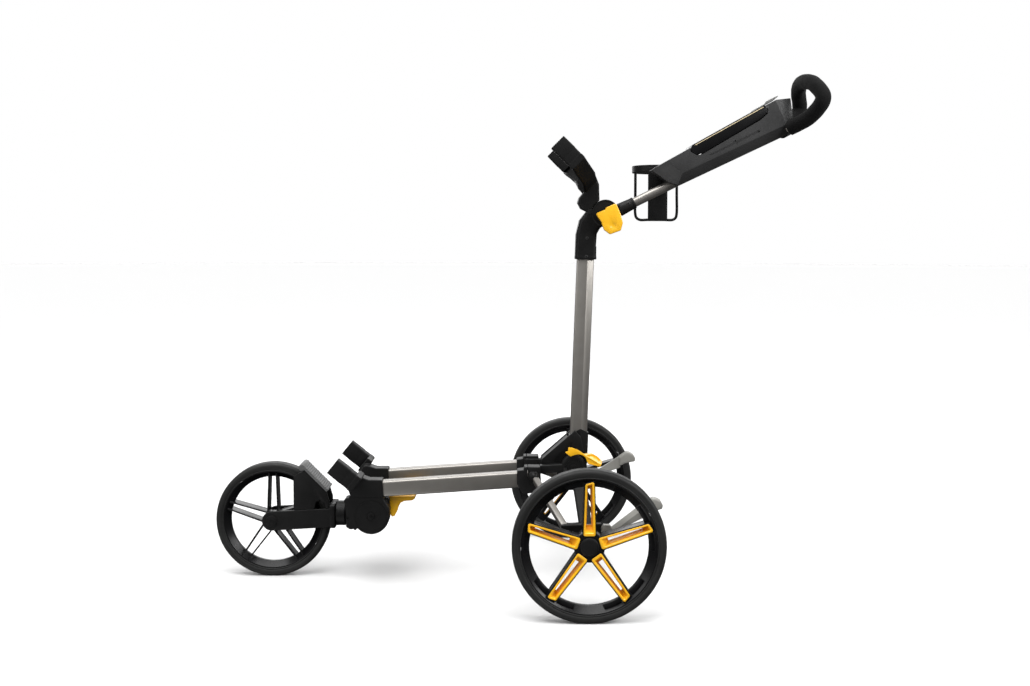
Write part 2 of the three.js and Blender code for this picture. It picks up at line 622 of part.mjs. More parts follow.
function elbow() {
  const bend = loft([
    section(v(11.8, 0, 676.5), X_AXIS, Y_AXIS, 22.3, 18.5, 7),
    section(v(13.6, 0, 730), X_AXIS, Y_AXIS, 22.3, 19, 7),
    section(v(20, 0, 750), v(0.93, 0, -0.37), Y_AXIS, 23.5, 20, 7),
    section(v(36, 0, 768), v(0.72, 0, -0.69), Y_AXIS, 24.5, 21, 7),
    section(v(48, 0, 774), v(0.5, 0, -0.86), Y_AXIS, 25, 22, 7),
  ]);
  const topRoom = block(-30, 44, -30, 30, 782, 820);
  const discs = barY(HANDLE_PIVOT.x, HANDLE_PIVOT.z, -22, 22, 28.5, 28);
  const saddle = block(-2, 34, -22, 22, 770, 782);
  const socket = loft([mastSection(670, GAP), mastSection(MAST.high + 1, GAP)]);
  const clevis = barY(HANDLE_PIVOT.x, HANDLE_PIVOT.z, -CLEVIS_HALF_GAP, CLEVIS_HALF_GAP, 31, 24);
  const foldRoom = block(29.6, 90, -CLEVIS_HALF_GAP, CLEVIS_HALF_GAP, MAST.high + 1.5, 752);
  const bore = barY(HANDLE_PIVOT.x, HANDLE_PIVOT.z, -60, 60, 5.3);
  return cut(join(cut(bend, topRoom), discs, saddle), socket, clevis, foldRoom, bore);
}

const UPPER_PAD_FOOT = v(-20, -99, 881);
const upperAlong = v(Math.SQRT1_2, 0, Math.SQRT1_2);
const upperOut = v(-Math.SQRT1_2, 0, Math.SQRT1_2);

// The yoke that spreads from the elbow to the two upper cradle pads.
function upperCradle() {
  const across = v(1, 0, 0.12).normalize();
  const stem = loft([
    section(v(14, 0, 782.3), X_AXIS, Y_AXIS, 20, 20, 4),
    section(v(18, 0, 812), across, Y_AXIS, 19, 24, 5),
    section(v(16, 0, 842), v(0.86, 0, 0.5), Y_AXIS, 18, 30, 6),
  ]);
  const branch = loft([
    crossSection(v(16, -4, 830), v(-0.2, -0.9, 0.4), upperAlong, 18, 15, 4),
    crossSection(v(9, -48, 850), v(-0.25, -0.85, 0.45), upperAlong, 18, 12, 4),
    crossSection(v(-7, -84, 868), v(-0.3, -0.85, 0.4), upperAlong, 18, 9, 4),
    crossSection(v(-14.5, -111, 875.5), v(0, -1, 0), upperAlong, 18, 7, 4),
  ]);
  const discRoom = barY(HANDLE_PIVOT.x, HANDLE_PIVOT.z, -40, 40, 29.1, 28);
  return cut(join(stem, branch, mirrored(branch)), discRoom);
}

// The over-centre lever. It turns about a line across its own width, through the bolt's end.
const LEVER = { y: -37, halfThickness: 5 };
const leverAlong = v(0.928, 0, 0.373).normalize();
const leverDown = v(leverAlong.z, 0, -leverAlong.x);

function clampLever() {
  const shape = new THREE.Shape();
  shape.moveTo(-22, 10);
  shape.lineTo(21, 10);
  shape.lineTo(20, -28);
  shape.quadraticCurveTo(19, -46, 2, -47);
  shape.quadraticCurveTo(-16, -46, -18, -30);
  const geometry = new THREE.ExtrudeGeometry(shape, {
    depth: 2 * LEVER.halfThickness, bevelEnabled: false, curveSegments: 6,
  });
  const matrix = new THREE.Matrix4().makeBasis(leverAlong, leverDown.clone().negate(), v(0, -1, 0));
  matrix.setPosition(HANDLE_PIVOT.x, LEVER.y + LEVER.halfThickness, HANDLE_PIVOT.z);
  const slot = block(-5.6, 5.6, -6.3, 12, -1, 2 * LEVER.halfThickness + 1).applyMatrix4(matrix);
  return join(cut(geometry.applyMatrix4(matrix), slot), leverPin(2.5, 9));
}

// The cross pin that the lever turns on, through the bolt's end.
function leverPin(radius, halfLength) {
  const centre = v(HANDLE_PIVOT.x, LEVER.y, HANDLE_PIVOT.z);
  return bar(centre.clone().addScaledVector(leverAlong, -halfLength),
    centre.clone().addScaledVector(leverAlong, halfLength), radius);
}

function clampBolt() {
  const shank = barY(HANDLE_PIVOT.x, HANDLE_PIVOT.z, LEVER.y - 4, 24, 5);
  const nut = barY(HANDLE_PIVOT.x, HANDLE_PIVOT.z, 22.4, 27, 10, 6);
  return cut(join(shank, nut), leverPin(2.8, 20));
}

function addMast() {
  add('mast_tube', mastTube(), TITANIUM);
  add('mast_shoe', mastShoe(), BLACK_PLASTIC);
  add('elbow', elbow(), BLACK_PLASTIC);
  add('upper_cradle', upperCradle(), BLACK_PLASTIC);
  addPair('upper_cradle_pad_left', 'upper_cradle_pad_right',
    cradlePad(UPPER_PAD_FOOT, upperOut, 47), RIBBED_RUBBER);
  add('clamp_bolt', clampBolt(), STEEL);
  add('clamp_lever', clampLever(), YELLOW);
}

// ---------------------------------------------------------------- handle

function handleKnuckle() {
  const disc = barY(HANDLE_PIVOT.x, HANDLE_PIVOT.z, -14.4, 14.4, 27, 24);
  const sleeve = bar(handlePoint(HANDLE.sleeveStart), handlePoint(HANDLE.sleeveEnd), 14, 11.8, 18);
  const link = beam(handlePoint(8, 4), handlePoint(34, 1), Y_AXIS, 13, 12, 4);
  const bore = barY(HANDLE_PIVOT.x, HANDLE_PIVOT.z, -60, 60, 5.3);
  const socket = bar(handlePoint(40 - GAP), handlePoint(80), HANDLE.tubeRadius + GAP);
  return cut(join(disc, link, sleeve), bore, socket);
}

function handleTube() {
  const outer = bar(handlePoint(40), handlePoint(HANDLE.end), HANDLE.tubeRadius, HANDLE.tubeRadius, 18);
  const inner = bar(handlePoint(39), handlePoint(HANDLE.end + 1), HANDLE.tubeRadius - 1.5);
  return cut(outer, inner);
}

// The room for the handle tube between two distances along it.
function tubeRoom(start, end) {
  const radius = HANDLE.tubeRadius + GAP;
  return bar(handlePoint(start), handlePoint(end), radius, radius, 18);
}

// The loop the hands hold: up both sides from the console, closed across the top.
const GRIP = { foam: 16, core: 10, tuck: 18, start: -8 };
const LOOP_START = v(437, -35, 952);
const LOOP_SIDE = v(470, -65, 973);
const loopPoint = (s) => LOOP_START.clone()
  .addScaledVector(LOOP_SIDE.clone().sub(LOOP_START).normalize(), s);

function loopCurve(start) {
  const half = [loopPoint(start), LOOP_SIDE, v(488.4, -88, 1006), v(478, -62, 1037), v(471, -22, 1049)];
  const otherHalf = half.map((p) => v(p.x, -p.y, p.z)).reverse();
  return new THREE.CatmullRomCurve3([...half, ...otherHalf], false, 'centripetal');
}

const gripCore = (radius) => sweep(loopCurve(-GRIP.tuck), radius, 30, 4);

function gripFoam() {
  return cut(sweep(loopCurve(GRIP.start), GRIP.foam, 28, 6), gripCore(GRIP.core + 0.4));
}

// Console side outline as [x, z]: the top runs up to the loop, the underside follows the tube.
const CONSOLE_OUTLINE = [
  [161, 872], [404, 1009], [437, 1014], [441, 978], [434, 939], [206, 831], [185, 838], [148, 864],
];
const CONSOLE_CAVITY = [
  [226, 902], [392, 996], [418, 996], [417, 940], [226, 852],
];
const LID_OUTLINE = [
  [229.5, 910.7], [380.5, 995.8], [385, 981], [373, 969], [251, 897], [233, 900],
];
const LID_INSIDE = [
  [240, 912.2], [374, 987.8], [380, 970], [250, 880],
];

function consoleBody() {
  const half = CONSOLE_HALF_WIDTH;
  const body = plate(CONSOLE_OUTLINE, -half, half);
  const cavity = plate(CONSOLE_CAVITY, -half + 3.5, half - 3.5);
  const lidRoom = plate([[228.5, 912], [229.5, 930], [380, 1012], [385.5, 996.5],
    [386, 981], [373.4, 968.3], [251.2, 896.3], [232.3, 899.2]], -half - 1, half + 1);
  const socket = tubeRoom(60, HANDLE.end + GAP);
  // The lower end is chamfered on both sides, and so are the long bottom edges.
  const cheekCut = loft([
    [v(120, -60, 800), v(120, -12, 800), v(225, -60, 800)],
    [v(120, -60, 950), v(120, -12, 950), v(225, -60, 950)],
  ]);
  const bottomCut = loft([
    [v(180, -half - 6, 840.7), v(180, -half - 6, 807.7), v(180, -half + 16, 807.7)],
    [v(460, -half - 6, 973.3), v(460, -half - 6, 940.3), v(460, -half + 16, 940.3)],
  ]);
  const gripBore = bar(loopPoint(-40), loopPoint(20), GRIP.core + 0.5);
  const gripSeat = bar(loopPoint(GRIP.start - 0.4), loopPoint(40), GRIP.foam + 0.6);
  return cut(body, cavity, lidRoom, socket, cheekCut, mirrored(cheekCut), bottomCut,
    mirrored(bottomCut), gripBore, mirrored(gripBore), gripSeat, mirrored(gripSeat));
}

function consoleLid() {
  const half = CONSOLE_HALF_WIDTH - 0.4;
  return cut(plate(LID_OUTLINE, -half, half), plate(LID_INSIDE, -half + 3, half - 3));
}

// A springy tab that lies on the lid's upper end and lifts clear of the console behind it.
function lidClip() {
  const normal = v(-0.5, 0, 0.866);
  return loft([
    section(v(360, 0, 985.8), normal, Y_AXIS, 1, 8, 0.3),
    section(v(386, 0, 1000.8), normal, Y_AXIS, 1, 9, 0.3),
    section(v(417, 0, 1025), v(-0.62, 0, 0.78), Y_AXIS, 0.8, 9, 0.3),
  ]);
}

const HOLDER = { x: 171, y: 94, radius: 50, front: -42.5, back: 49, top: 880, bottom: 762 };

function drinkHolder() {
  const { radius } = HOLDER;
  const hoop = ring([[radius - 4.5, -7.5], [radius, -7.5], [radius, 7.5], [radius - 4.5, 7.5]], 28)
    .rotateX(Math.PI / 2)
    .translate(HOLDER.x, HOLDER.y, HOLDER.top - 7.5);
  const wirePoints = [
    [HOLDER.front, HOLDER.top - 10], [HOLDER.front, 820], [HOLDER.front, 776],
    [HOLDER.front + 2.5, 767], [HOLDER.front + 10, HOLDER.bottom], [-15, HOLDER.bottom],
    [20, HOLDER.bottom], [HOLDER.back - 9, HOLDER.bottom], [HOLDER.back - 2.5, 766],
    [HOLDER.back, 774], [HOLDER.back, 820], [HOLDER.back, HOLDER.top - 10],
  ].map(([x, z]) => v(HOLDER.x + x, HOLDER.y, z));
  const wire = sweep(new THREE.CatmullRomCurve3(wirePoints, false, 'centripetal'), 3, 44, 3);
  const panel = block(HOLDER.x - 21, HOLDER.x + 21, 43, 46.5, HOLDER.bottom - 2, HOLDER.top - 6);
  const base = block(HOLDER.x - 10, HOLDER.x + 10, 44, 110, HOLDER.bottom - 2, HOLDER.bottom + 2);
  const boss = barY(HOLDER_PIVOT.x, HOLDER_PIVOT.z, 34.3, 44, 9);
  const bore = barY(HOLDER_PIVOT.x, HOLDER_PIVOT.z, 20, 60, 4.3);
  return cut(join(hoop, wire, panel, base, boss), bore);
}

// A small saddle on the far side of the handle tube, with the pin that the holder tilts on.
function holderMount() {
  const saddle = beam(handlePoint(108, 0, 12.3), handlePoint(134, 0, 12.3), Y_AXIS, 4, 9, 1.5);
  const room = tubeRoom(90, 150);
  const stem = barY(HOLDER_PIVOT.x, HOLDER_PIVOT.z, 10.6, 34, 7.5);
  const pin = barY(HOLDER_PIVOT.x, HOLDER_PIVOT.z, 33, 47.5, 4);
  return cut(join(saddle, stem, pin), room);
}

function addHandle() {
  add('handle_knuckle', handleKnuckle(), BLACK_PLASTIC);
  add('handle_tube', handleTube(), TITANIUM);
  add('console_body', consoleBody(), CONSOLE_GREY);
  add('console_lid', consoleLid(), GLOSS_BLACK);
  add('lid_clip', lidClip(), STEEL);
  add('grip_core', cut(gripCore(GRIP.core), sweep(loopCurve(-GRIP.tuck - 2), 8, 30, 3)), TITANIUM);
  add('grip_foam', gripFoam(), FOAM);
  add('holder_mount', holderMount(), BLACK_PLASTIC);
  add('drink_holder', drinkHolder(), BLACK_PLASTIC);
}

// ---------------------------------------------------------------- assembly

addRearWheel('left', -1);
addRearWheel('right', 1);
addFrontWheel();
addFrontArm();
addFrontHousings();
addRearFrame();
addCarriers();
addMast();
addHandle();

trolley.position.x = ORIGIN_TO_REAR_AXLE;

export default trolley;
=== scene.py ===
"""Golf push trolley: its finished surfaces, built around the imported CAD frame.

Lengths in the shapes are millimetres from the point on the ground under the rear axle. +X is towards
the person pushing, -Y is the trolley's left and +Z is up. placed() turns them into the frame's metres.
Left pieces are drawn, and right pieces are their mirror images.
"""

import json
import math

import bmesh
import bpy
from mathutils import Matrix, Vector


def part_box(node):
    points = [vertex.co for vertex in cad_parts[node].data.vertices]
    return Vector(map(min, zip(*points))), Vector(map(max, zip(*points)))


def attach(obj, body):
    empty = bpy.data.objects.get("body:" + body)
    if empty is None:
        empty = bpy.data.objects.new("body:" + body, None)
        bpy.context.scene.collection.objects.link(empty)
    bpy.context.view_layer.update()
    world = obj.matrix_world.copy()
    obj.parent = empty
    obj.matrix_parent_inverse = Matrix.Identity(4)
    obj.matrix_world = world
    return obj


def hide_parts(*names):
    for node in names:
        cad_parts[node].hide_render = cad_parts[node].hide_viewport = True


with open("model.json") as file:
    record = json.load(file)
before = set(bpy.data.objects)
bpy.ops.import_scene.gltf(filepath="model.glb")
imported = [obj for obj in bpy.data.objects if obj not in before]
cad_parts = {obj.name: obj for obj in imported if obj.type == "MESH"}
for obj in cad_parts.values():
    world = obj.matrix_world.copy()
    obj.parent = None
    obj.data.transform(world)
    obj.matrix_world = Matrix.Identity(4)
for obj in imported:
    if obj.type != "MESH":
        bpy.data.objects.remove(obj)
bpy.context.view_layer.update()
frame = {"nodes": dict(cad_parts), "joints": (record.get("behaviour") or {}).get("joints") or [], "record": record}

MM = 0.001
RECORD = frame["record"]
JOINTS = {joint["name"]: Vector(joint["pos_m"]) for joint in frame["joints"]}
ORIGIN = Vector((JOINTS["left_wheel_spin"].x, 0, 0))
BODY_OF = {node: body for body, nodes in RECORD["behaviour"]["bodies"].items() for node in nodes}
SLOT_OF = {part["node"]: part["material_slot"] for part in RECORD["subparts"]}
UP = Vector((0, 0, 1))
X_AXIS = Vector((1, 0, 0))
Y_AXIS = Vector((0, 1, 0))


def pivot(joint):
    return (JOINTS[joint] - ORIGIN) / MM


def box(node):
    return [(corner - ORIGIN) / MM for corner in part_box(node)]


REAR_AXLE = pivot("left_wheel_spin")
FRONT_AXLE = pivot("front_wheel_spin")
FRONT_PIVOT = pivot("front_fold")
MAST_PIVOT = pivot("mast_fold")
HANDLE_PIVOT = pivot("handle_fold")
LEG_HINGE = pivot("left_wheel_fold")
LATCH_PIVOT = pivot("front_latch_press")
PEDAL_PIVOT = pivot("rear_pedal_press")
HOLDER_PIVOT = pivot("holder_tilt")

AXLE_HOLE, HINGE_HOLE, SMALL_HOLE = 6.3, 5.3, 4.3
FIT = 0.3


# ---- materials


def shader(name):
    material = bpy.data.materials.new(name)
    material.use_nodes = True
    tree = material.node_tree
    return material, tree, tree.nodes["Principled BSDF"]


def dial(node, **values):
    """Sets a node's inputs by name. An underscore stands for a space."""
    for name, value in values.items():
        node.inputs[name.replace("_", " ")].default_value = value
    return node


def added(tree, kind, **values):
    """A new node, with its inputs set."""
    return dial(tree.nodes.new(kind), **values)


def noise(tree, scale, detail=2.0, roughness=0.5, stretch=None):
    """A noise texture fixed to the piece. stretch scales its three directions."""
    coordinates = added(tree, "ShaderNodeTexCoord").outputs["Object"]
    texture = added(tree, "ShaderNodeTexNoise", Scale=scale, Detail=detail, Roughness=roughness)
    if stretch:
        mapping = added(tree, "ShaderNodeMapping", Scale=stretch)
        tree.links.new(coordinates, mapping.inputs["Vector"])
        coordinates = mapping.outputs["Vector"]
    tree.links.new(coordinates, texture.inputs["Vector"])
    return texture.outputs["Fac"]


def mottled(tree, bsdf, colour, variation, scale):
    """Base colour that wanders a little either side of colour."""
    mix = tree.nodes.new("ShaderNodeMix")
    mix.data_type = "RGBA"
    darker = [channel * (1 - variation) for channel in colour]
    lighter = [min(1.0, channel * (1 + variation)) for channel in colour]
    dial(mix, A=(*darker, 1), B=(*lighter, 1))
    tree.links.new(ramp(tree, noise(tree, scale, 4), 0, 1), mix.inputs["Factor"])
    tree.links.new(mix.outputs["Result"], bsdf.inputs["Base Color"])


def ramp(tree, factor, low, high):
    """factor from 0.3 to 0.7 stretched to run from low to high."""
    spread = added(tree, "ShaderNodeMapRange", From_Min=0.3, From_Max=0.7, To_Min=low, To_Max=high)
    tree.links.new(factor, spread.inputs["Value"])
    return spread.outputs["Result"]


def bumped(tree, bsdf, height, distance):
    bump = added(tree, "ShaderNodeBump", Distance=distance, Strength=1)
    tree.links.new(height, bump.inputs["Height"])
    tree.links.new(bump.outputs["Normal"], bsdf.inputs["Normal"])


def worn(tree, bsdf, wear, low, high):
    """Roughness between low and high that follows the wear noise."""
    tree.links.new(ramp(tree, wear, low, high), bsdf.inputs["Roughness"])


def moulded_plastic(name, colour, roughness, grain, depth, spread=0.06, coat=0.0, shine=0.5):
    """Plastic from a textured mould: grain is the number of pits in a metre, depth is in metres."""
    material, tree, bsdf = shader(name)
    mottled(tree, bsdf, colour, 0.12, 18)
    worn(tree, bsdf, noise(tree, 45, 3), roughness - spread, roughness + spread)
    bumped(tree, bsdf, noise(tree, grain, 2, 0.6), depth)
    dial(bsdf, Specular_IOR_Level=shine, Coat_Weight=coat, Coat_Roughness=0.25)
    return material


def anodised(name, colour, roughness):
    """Bead-blasted and anodised aluminium: a metal with a very fine satin grain."""
    material, tree, bsdf = shader(name)
    dial(bsdf, Metallic=0.85)
    mottled(tree, bsdf, colour, 0.06, 30)
    grain = noise(tree, 900, 3, 0.7)
    worn(tree, bsdf, grain, roughness - 0.05, roughness + 0.07)
    bumped(tree, bsdf, grain, 0.00002)
    return material


def plated_steel(name, colour, roughness):
    material, tree, bsdf = shader(name)
    dial(bsdf, Metallic=1)
    mottled(tree, bsdf, colour, 0.08, 60)
    brushed = noise(tree, 260, 3, 0.6, stretch=(1, 1, 12))
    worn(tree, bsdf, brushed, roughness - 0.06, roughness + 0.1)
    bumped(tree, bsdf, brushed, 0.00002)
    return material


def rubber(name, colour, roughness, grain, depth, sheen=0.15, shine=0.25):
    material, tree, bsdf = shader(name)
    mottled(tree, bsdf, colour, 0.18, 25)
    worn(tree, bsdf, noise(tree, 60, 5, 0.65), roughness - 0.06, roughness + 0.08)
    bumped(tree, bsdf, noise(tree, grain, 3, 0.65), depth)
    dial(bsdf, Specular_IOR_Level=shine, Sheen_Weight=sheen, Sheen_Roughness=0.5)
    return material


def cell_foam(name, colour):
    """Closed-cell foam: a skin of small cells with a few open ones."""
    material, tree, bsdf = shader(name)
    mottled(tree, bsdf, colour, 0.25, 40)
    dial(bsdf, Roughness=0.92, Specular_IOR_Level=0.1, Sheen_Weight=0.05, Sheen_Roughness=0.6)
    cells = added(tree, "ShaderNodeTexVoronoi", Scale=950)
    tree.links.new(added(tree, "ShaderNodeTexCoord").outputs["Object"], cells.inputs["Vector"])
    total = added(tree, "ShaderNodeMath")
    tree.links.new(cells.outputs["Distance"], total.inputs[0])
    tree.links.new(noise(tree, 350, 4, 0.7), total.inputs[1])
    bumped(tree, bsdf, total.outputs["Value"], 0.00035)
    return material


MATERIALS = {
    "aluminium_titanium": anodised("titanium_anodised", (0.29, 0.275, 0.255), 0.36),
    "black_plastic": moulded_plastic("black_textured_plastic", (0.0065,) * 3, 0.45, 1700, 0.00012, shine=0.2),
    "gloss_black": moulded_plastic("black_gloss_plastic", (0.004, 0.004, 0.0045), 0.28, 500, 0.00002, 0.04,
                                   0.05, 0.22),
    "tyre_rubber": rubber("tyre_rubber", (0.013, 0.013, 0.0127), 0.5, 1300, 0.0001, 0.04),
    "yellow_plastic": moulded_plastic("yellow_plastic", (0.9, 0.47, 0.012), 0.34, 900, 0.00003, 0.04, 0.2),
    "grey_plastic": moulded_plastic("grey_plastic", (0.24, 0.235, 0.215), 0.45, 1500, 0.0001),
    "ribbed_rubber": rubber("grey_pad_rubber", (0.1,) * 3, 0.7, 1100, 0.00012),
    "black_rubber": rubber("black_pad_rubber", (0.007,) * 3, 0.55, 1300, 0.0001, 0.03, 0.15),
    "console_grey": moulded_plastic("console_plastic", (0.032, 0.032, 0.0325), 0.42, 1900, 0.0001,
                                    shine=0.35),
    "steel": plated_steel("plated_steel", (0.42, 0.42, 0.41), 0.3),
    "grip_foam": cell_foam("grip_foam", (0.004,) * 3),
}
DARK_SCREW = plated_steel("blackened_screw", (0.08,) * 3, 0.35)
DARK_PINS = ("mast_pivot_pin", "front_latch_pin")
LID_LINING = moulded_plastic("lid_lining", (0.62, 0.52, 0.33), 0.45, 800, 0.00003)


# ---- shapes


def mesh_of(points, faces):
    mesh = bpy.data.meshes.new("shape")
    mesh.from_pydata([tuple(p) for p in points], [], faces)
    shape = bmesh.new()
    shape.from_mesh(mesh)
    bmesh.ops.remove_doubles(shape, verts=shape.verts, dist=1e-4)
    bmesh.ops.dissolve_degenerate(shape, edges=shape.edges, dist=1e-5)
    bmesh.ops.recalc_face_normals(shape, faces=shape.faces)
    shape.to_mesh(mesh)
    shape.free()
    return mesh


def eased(mesh, width, segments=3, angle=40):
    """The mesh with every edge sharper than angle rounded to that width."""
    if width <= 0:
        return mesh
    shape = bmesh.new()
    shape.from_mesh(mesh)
    sharp = [e for e in shape.edges if e.is_manifold and e.calc_face_angle(0) > math.radians(angle)]
    bmesh.ops.bevel(shape, geom=sharp, offset=width, offset_type="OFFSET", segments=segments,
                    profile=0.5, affect="EDGES", clamp_overlap=True)
    shape.to_mesh(mesh)
    shape.free()
    return mesh


def filleted(outline, radius, steps=5):
    """The closed outline of (x, z) points with each corner turned into an arc."""
    made = []
    count = len(outline)
    for i in range(count):
        corner = Vector(outline[i])
        back = Vector(outline[i - 1]) - corner
        ahead = Vector(outline[(i + 1) % count]) - corner
        half = back.angle(ahead) / 2
        if radius <= 0 or half > math.radians(86):
            made.append(corner)
            continue
        reach = min(radius / math.tan(half), 0.48 * back.length, 0.48 * ahead.length)
        start = corner + back.normalized() * reach
        end = corner + ahead.normalized() * reach
        towards = (back.normalized() + ahead.normalized()).normalized()
        centre = corner + towards * (reach / math.cos(half))
        first = start - centre
        turn = first.angle_signed(end - centre)
        for k in range(steps + 1):
            share = -turn * k / steps
            made.append(centre + Matrix.Rotation(share, 2) @ first)
    return made


def plate(outline, y0, y1, fillet=0.0, edge=0.0):
    """An outline of (x, z) points carried across from y0 to y1, with rounded corners and edges."""
    outline = filleted(outline, fillet)
    count = len(outline)
    points = [(p[0], y, p[1]) for y in (y0, y1) for p in outline]
    faces = [tuple(range(count)), tuple(range(2 * count - 1, count - 1, -1))]
    for i in range(count):
        j = (i + 1) % count
        faces.append((i, j, count + j, count + i))
    return eased(mesh_of(points, faces), edge)


def turned(profile, start, direction, segments=96, ring=False, flutes=0, flute_depth=0.0):
    """A solid of revolution from (distance along the axis, radius) points."""
    axis = Vector(direction).normalized()
    side = axis.orthogonal().normalized()
    other = axis.cross(side)
    points, faces = [], []
    for along, radius in profile:
        for k in range(segments):
            angle = 2 * math.pi * k / segments
            reach = radius * (1 + flute_depth * math.cos(flutes * angle))
            spoke = side * math.cos(angle) + other * math.sin(angle)
            points.append(Vector(start) + axis * along + spoke * reach)
    rows = len(profile)
    for i in range(rows if ring else rows - 1):
        for k in range(segments):
            a, b = i * segments + k, i * segments + (k + 1) % segments
            c, d = (b + segments) % len(points), (a + segments) % len(points)
            faces.append((a, b, c, d))
    return mesh_of(points, faces)


def rod(p, q, radius, end_radius=None, edge=0.8, segments=64):
    """A round bar from p to q with rounded rims."""
    p, q = Vector(p), Vector(q)
    last = radius if end_radius is None else end_radius
    length = (q - p).length
    arcs = [math.radians(a) for a in (90, 60, 30, 0)]
    near = [(edge * (1 - math.sin(a)), radius - edge * (1 - math.cos(a))) for a in arcs]
    far = [(length - edge * (1 - math.sin(a)), last - edge * (1 - math.cos(a))) for a in reversed(arcs)]
    return turned([(0, 0), *near, *far, (length, 0)], p, q - p, segments)


def disc(place, y0, y1, radius, edge=0.8, segments=96):
    """A cylinder along Y. place is a point on its axis, or its (x, z)."""
    x, z = place[0], place[-1]
    return rod((x, y0, z), (x, y1, z), radius, edge=edge, segments=segments)


def drill(place, radius, y0=-60, y1=60):
    """A square-ended cylinder along Y, for cutting."""
    return disc(place, y0, y1, radius, edge=0)


def ball(centre, radius, segments=48):
    arcs = [math.pi * k / 24 for k in range(25)]
    profile = [(radius * (1 - math.cos(a)), radius * math.sin(a)) for a in arcs]
    return turned(profile, Vector(centre) - UP * radius, UP, segments)


def block(x0, x1, y0, y1, z0, z1, edge=0.0):
    return plate([(x0, z0), (x1, z0), (x1, z1), (x0, z1)], y0, y1, edge=edge)


def section(centre, u, w, a, b, radius, steps=5):
    """A rounded rectangle with half sizes a along u and b along w."""
    outline = filleted([(a, -b), (a, b), (-a, b), (-a, -b)], radius, steps)
    return [Vector(centre) + Vector(u).normalized() * p[0] + Vector(w).normalized() * p[1] for p in outline]


def loft(sections, edge=0.0):
    """A closed skin through a row of sections that have the same number of points."""
    count = len(sections[0])
    points = [p for row in sections for p in row]
    faces = [tuple(range(count)), tuple(range(len(points) - 1, len(points) - count - 1, -1))]
    for i in range(len(sections) - 1):
        for j in range(count):
            k = (j + 1) % count
            faces.append((i * count + j, i * count + k, (i + 1) * count + k, (i + 1) * count + j))
    return eased(mesh_of(points, faces), edge)


def beam(p, q, side, half_width, half_depth, radius, edge=0.0, end_scale=1.0):
    """A straight bar with a rounded rectangular section. side spans its half width."""
    p, q = Vector(p), Vector(q)
    along = (q - p).normalized()
    u = (Vector(side) - along * Vector(side).dot(along)).normalized()
    w = along.cross(u)
    last = [size * end_scale for size in (half_width, half_depth, radius)]
    return loft([section(p, u, w, half_width, half_depth, radius), section(q, u, w, *last)], edge)


def curve_through(points, steps):
    """Points along the centripetal Catmull-Rom curve through the given ones."""
    knots = [Vector(p) for p in points]
    knots = [knots[0] * 2 - knots[1], *knots, knots[-1] * 2 - knots[-2]]
    made = []
    for i in range(1, len(knots) - 2):
        p0, p1, p2, p3 = knots[i - 1:i + 3]
        d0, d1, d2 = ((b - a).length ** 0.5 for a, b in ((p0, p1), (p1, p2), (p2, p3)))
        t1 = ((p1 - p0) / d0 - (p2 - p0) / (d0 + d1) + (p2 - p1) / d1) * d1
        t2 = ((p2 - p1) / d1 - (p3 - p1) / (d1 + d2) + (p3 - p2) / d2) * d1
        for k in range(steps):
            t = k / steps
            made.append(p1 * (2 * t**3 - 3 * t**2 + 1) + t1 * (t**3 - 2 * t**2 + t)
                        + p2 * (3 * t**2 - 2 * t**3) + t2 * (t**3 - t**2))
    return [*made, knots[-2]]


def swept(path, radius, segments=24, edge=0.0, radii=None):
    """A round bar along a path, with rounded ends. radii gives a radius for each point."""
    path = [Vector(p) for p in path]
    radii = radii or [radius] * len(path)
    side = (path[1] - path[0]).orthogonal().normalized()
    rows = []
    for i, point in enumerate(path):
        ahead = (path[min(i + 1, len(path) - 1)] - path[max(i - 1, 0)]).normalized()
        side = (side - ahead * side.dot(ahead)).normalized()
        other = ahead.cross(side)
        angles = [2 * math.pi * k / segments for k in range(segments)]
        rows.append([point + (side * math.cos(a) + other * math.sin(a)) * radii[i] for a in angles])
    return loft(rows, edge)


# ---- joining, cutting, mirroring


def linked(name, data):
    """A new object in the scene."""
    made = bpy.data.objects.new(name, data)
    bpy.context.scene.collection.objects.link(made)
    return made


def with_modifiers(mesh, add_modifiers):
    """The mesh after the modifiers that add_modifiers puts on it."""
    holder = linked("work", mesh)
    add_modifiers(holder)
    evaluated = holder.evaluated_get(bpy.context.evaluated_depsgraph_get())
    made = bpy.data.meshes.new_from_object(evaluated)
    bpy.data.objects.remove(holder)
    return made


def combined(base, tools, operation):
    helpers = [linked("tool", tool) for tool in tools]

    def add(holder):
        for helper in helpers:
            modifier = holder.modifiers.new("boolean", "BOOLEAN")
            modifier.operation = operation
            modifier.solver = "MANIFOLD"
            modifier.object = helper

    made = with_modifiers(base, add)
    for helper in helpers:
        bpy.data.objects.remove(helper)
    return made


def join(base, *others):
    return combined(base, others, "UNION")


def cut(base, *tools):
    return combined(base, tools, "DIFFERENCE")


def cast(mesh, voxel=0.8, passes=6, keep=0.3):
    """The mesh as one moulding: its inner corners filled and its edges rounded."""
    def add(holder):
        remesh = holder.modifiers.new("remesh", "REMESH")
        remesh.mode = "VOXEL"
        remesh.voxel_size = voxel
        smooth = holder.modifiers.new("smooth", "SMOOTH")
        smooth.factor = 0.5
        smooth.iterations = passes
        thin = holder.modifiers.new("thin", "DECIMATE")
        thin.ratio = keep

    return with_modifiers(mesh, add)


def mirrored(mesh):
    other = mesh.copy()
    other.transform(Matrix.Scale(-1, 4, Y_AXIS))
    other.flip_normals()
    return other


def merged(*meshes):
    """Several solids that don't touch, as one mesh."""
    shape = bmesh.new()
    for mesh in meshes:
        shape.from_mesh(mesh)
    made = bpy.data.meshes.new("shape")
    shape.to_mesh(made)
    shape.free()
    return made


# ---- pieces


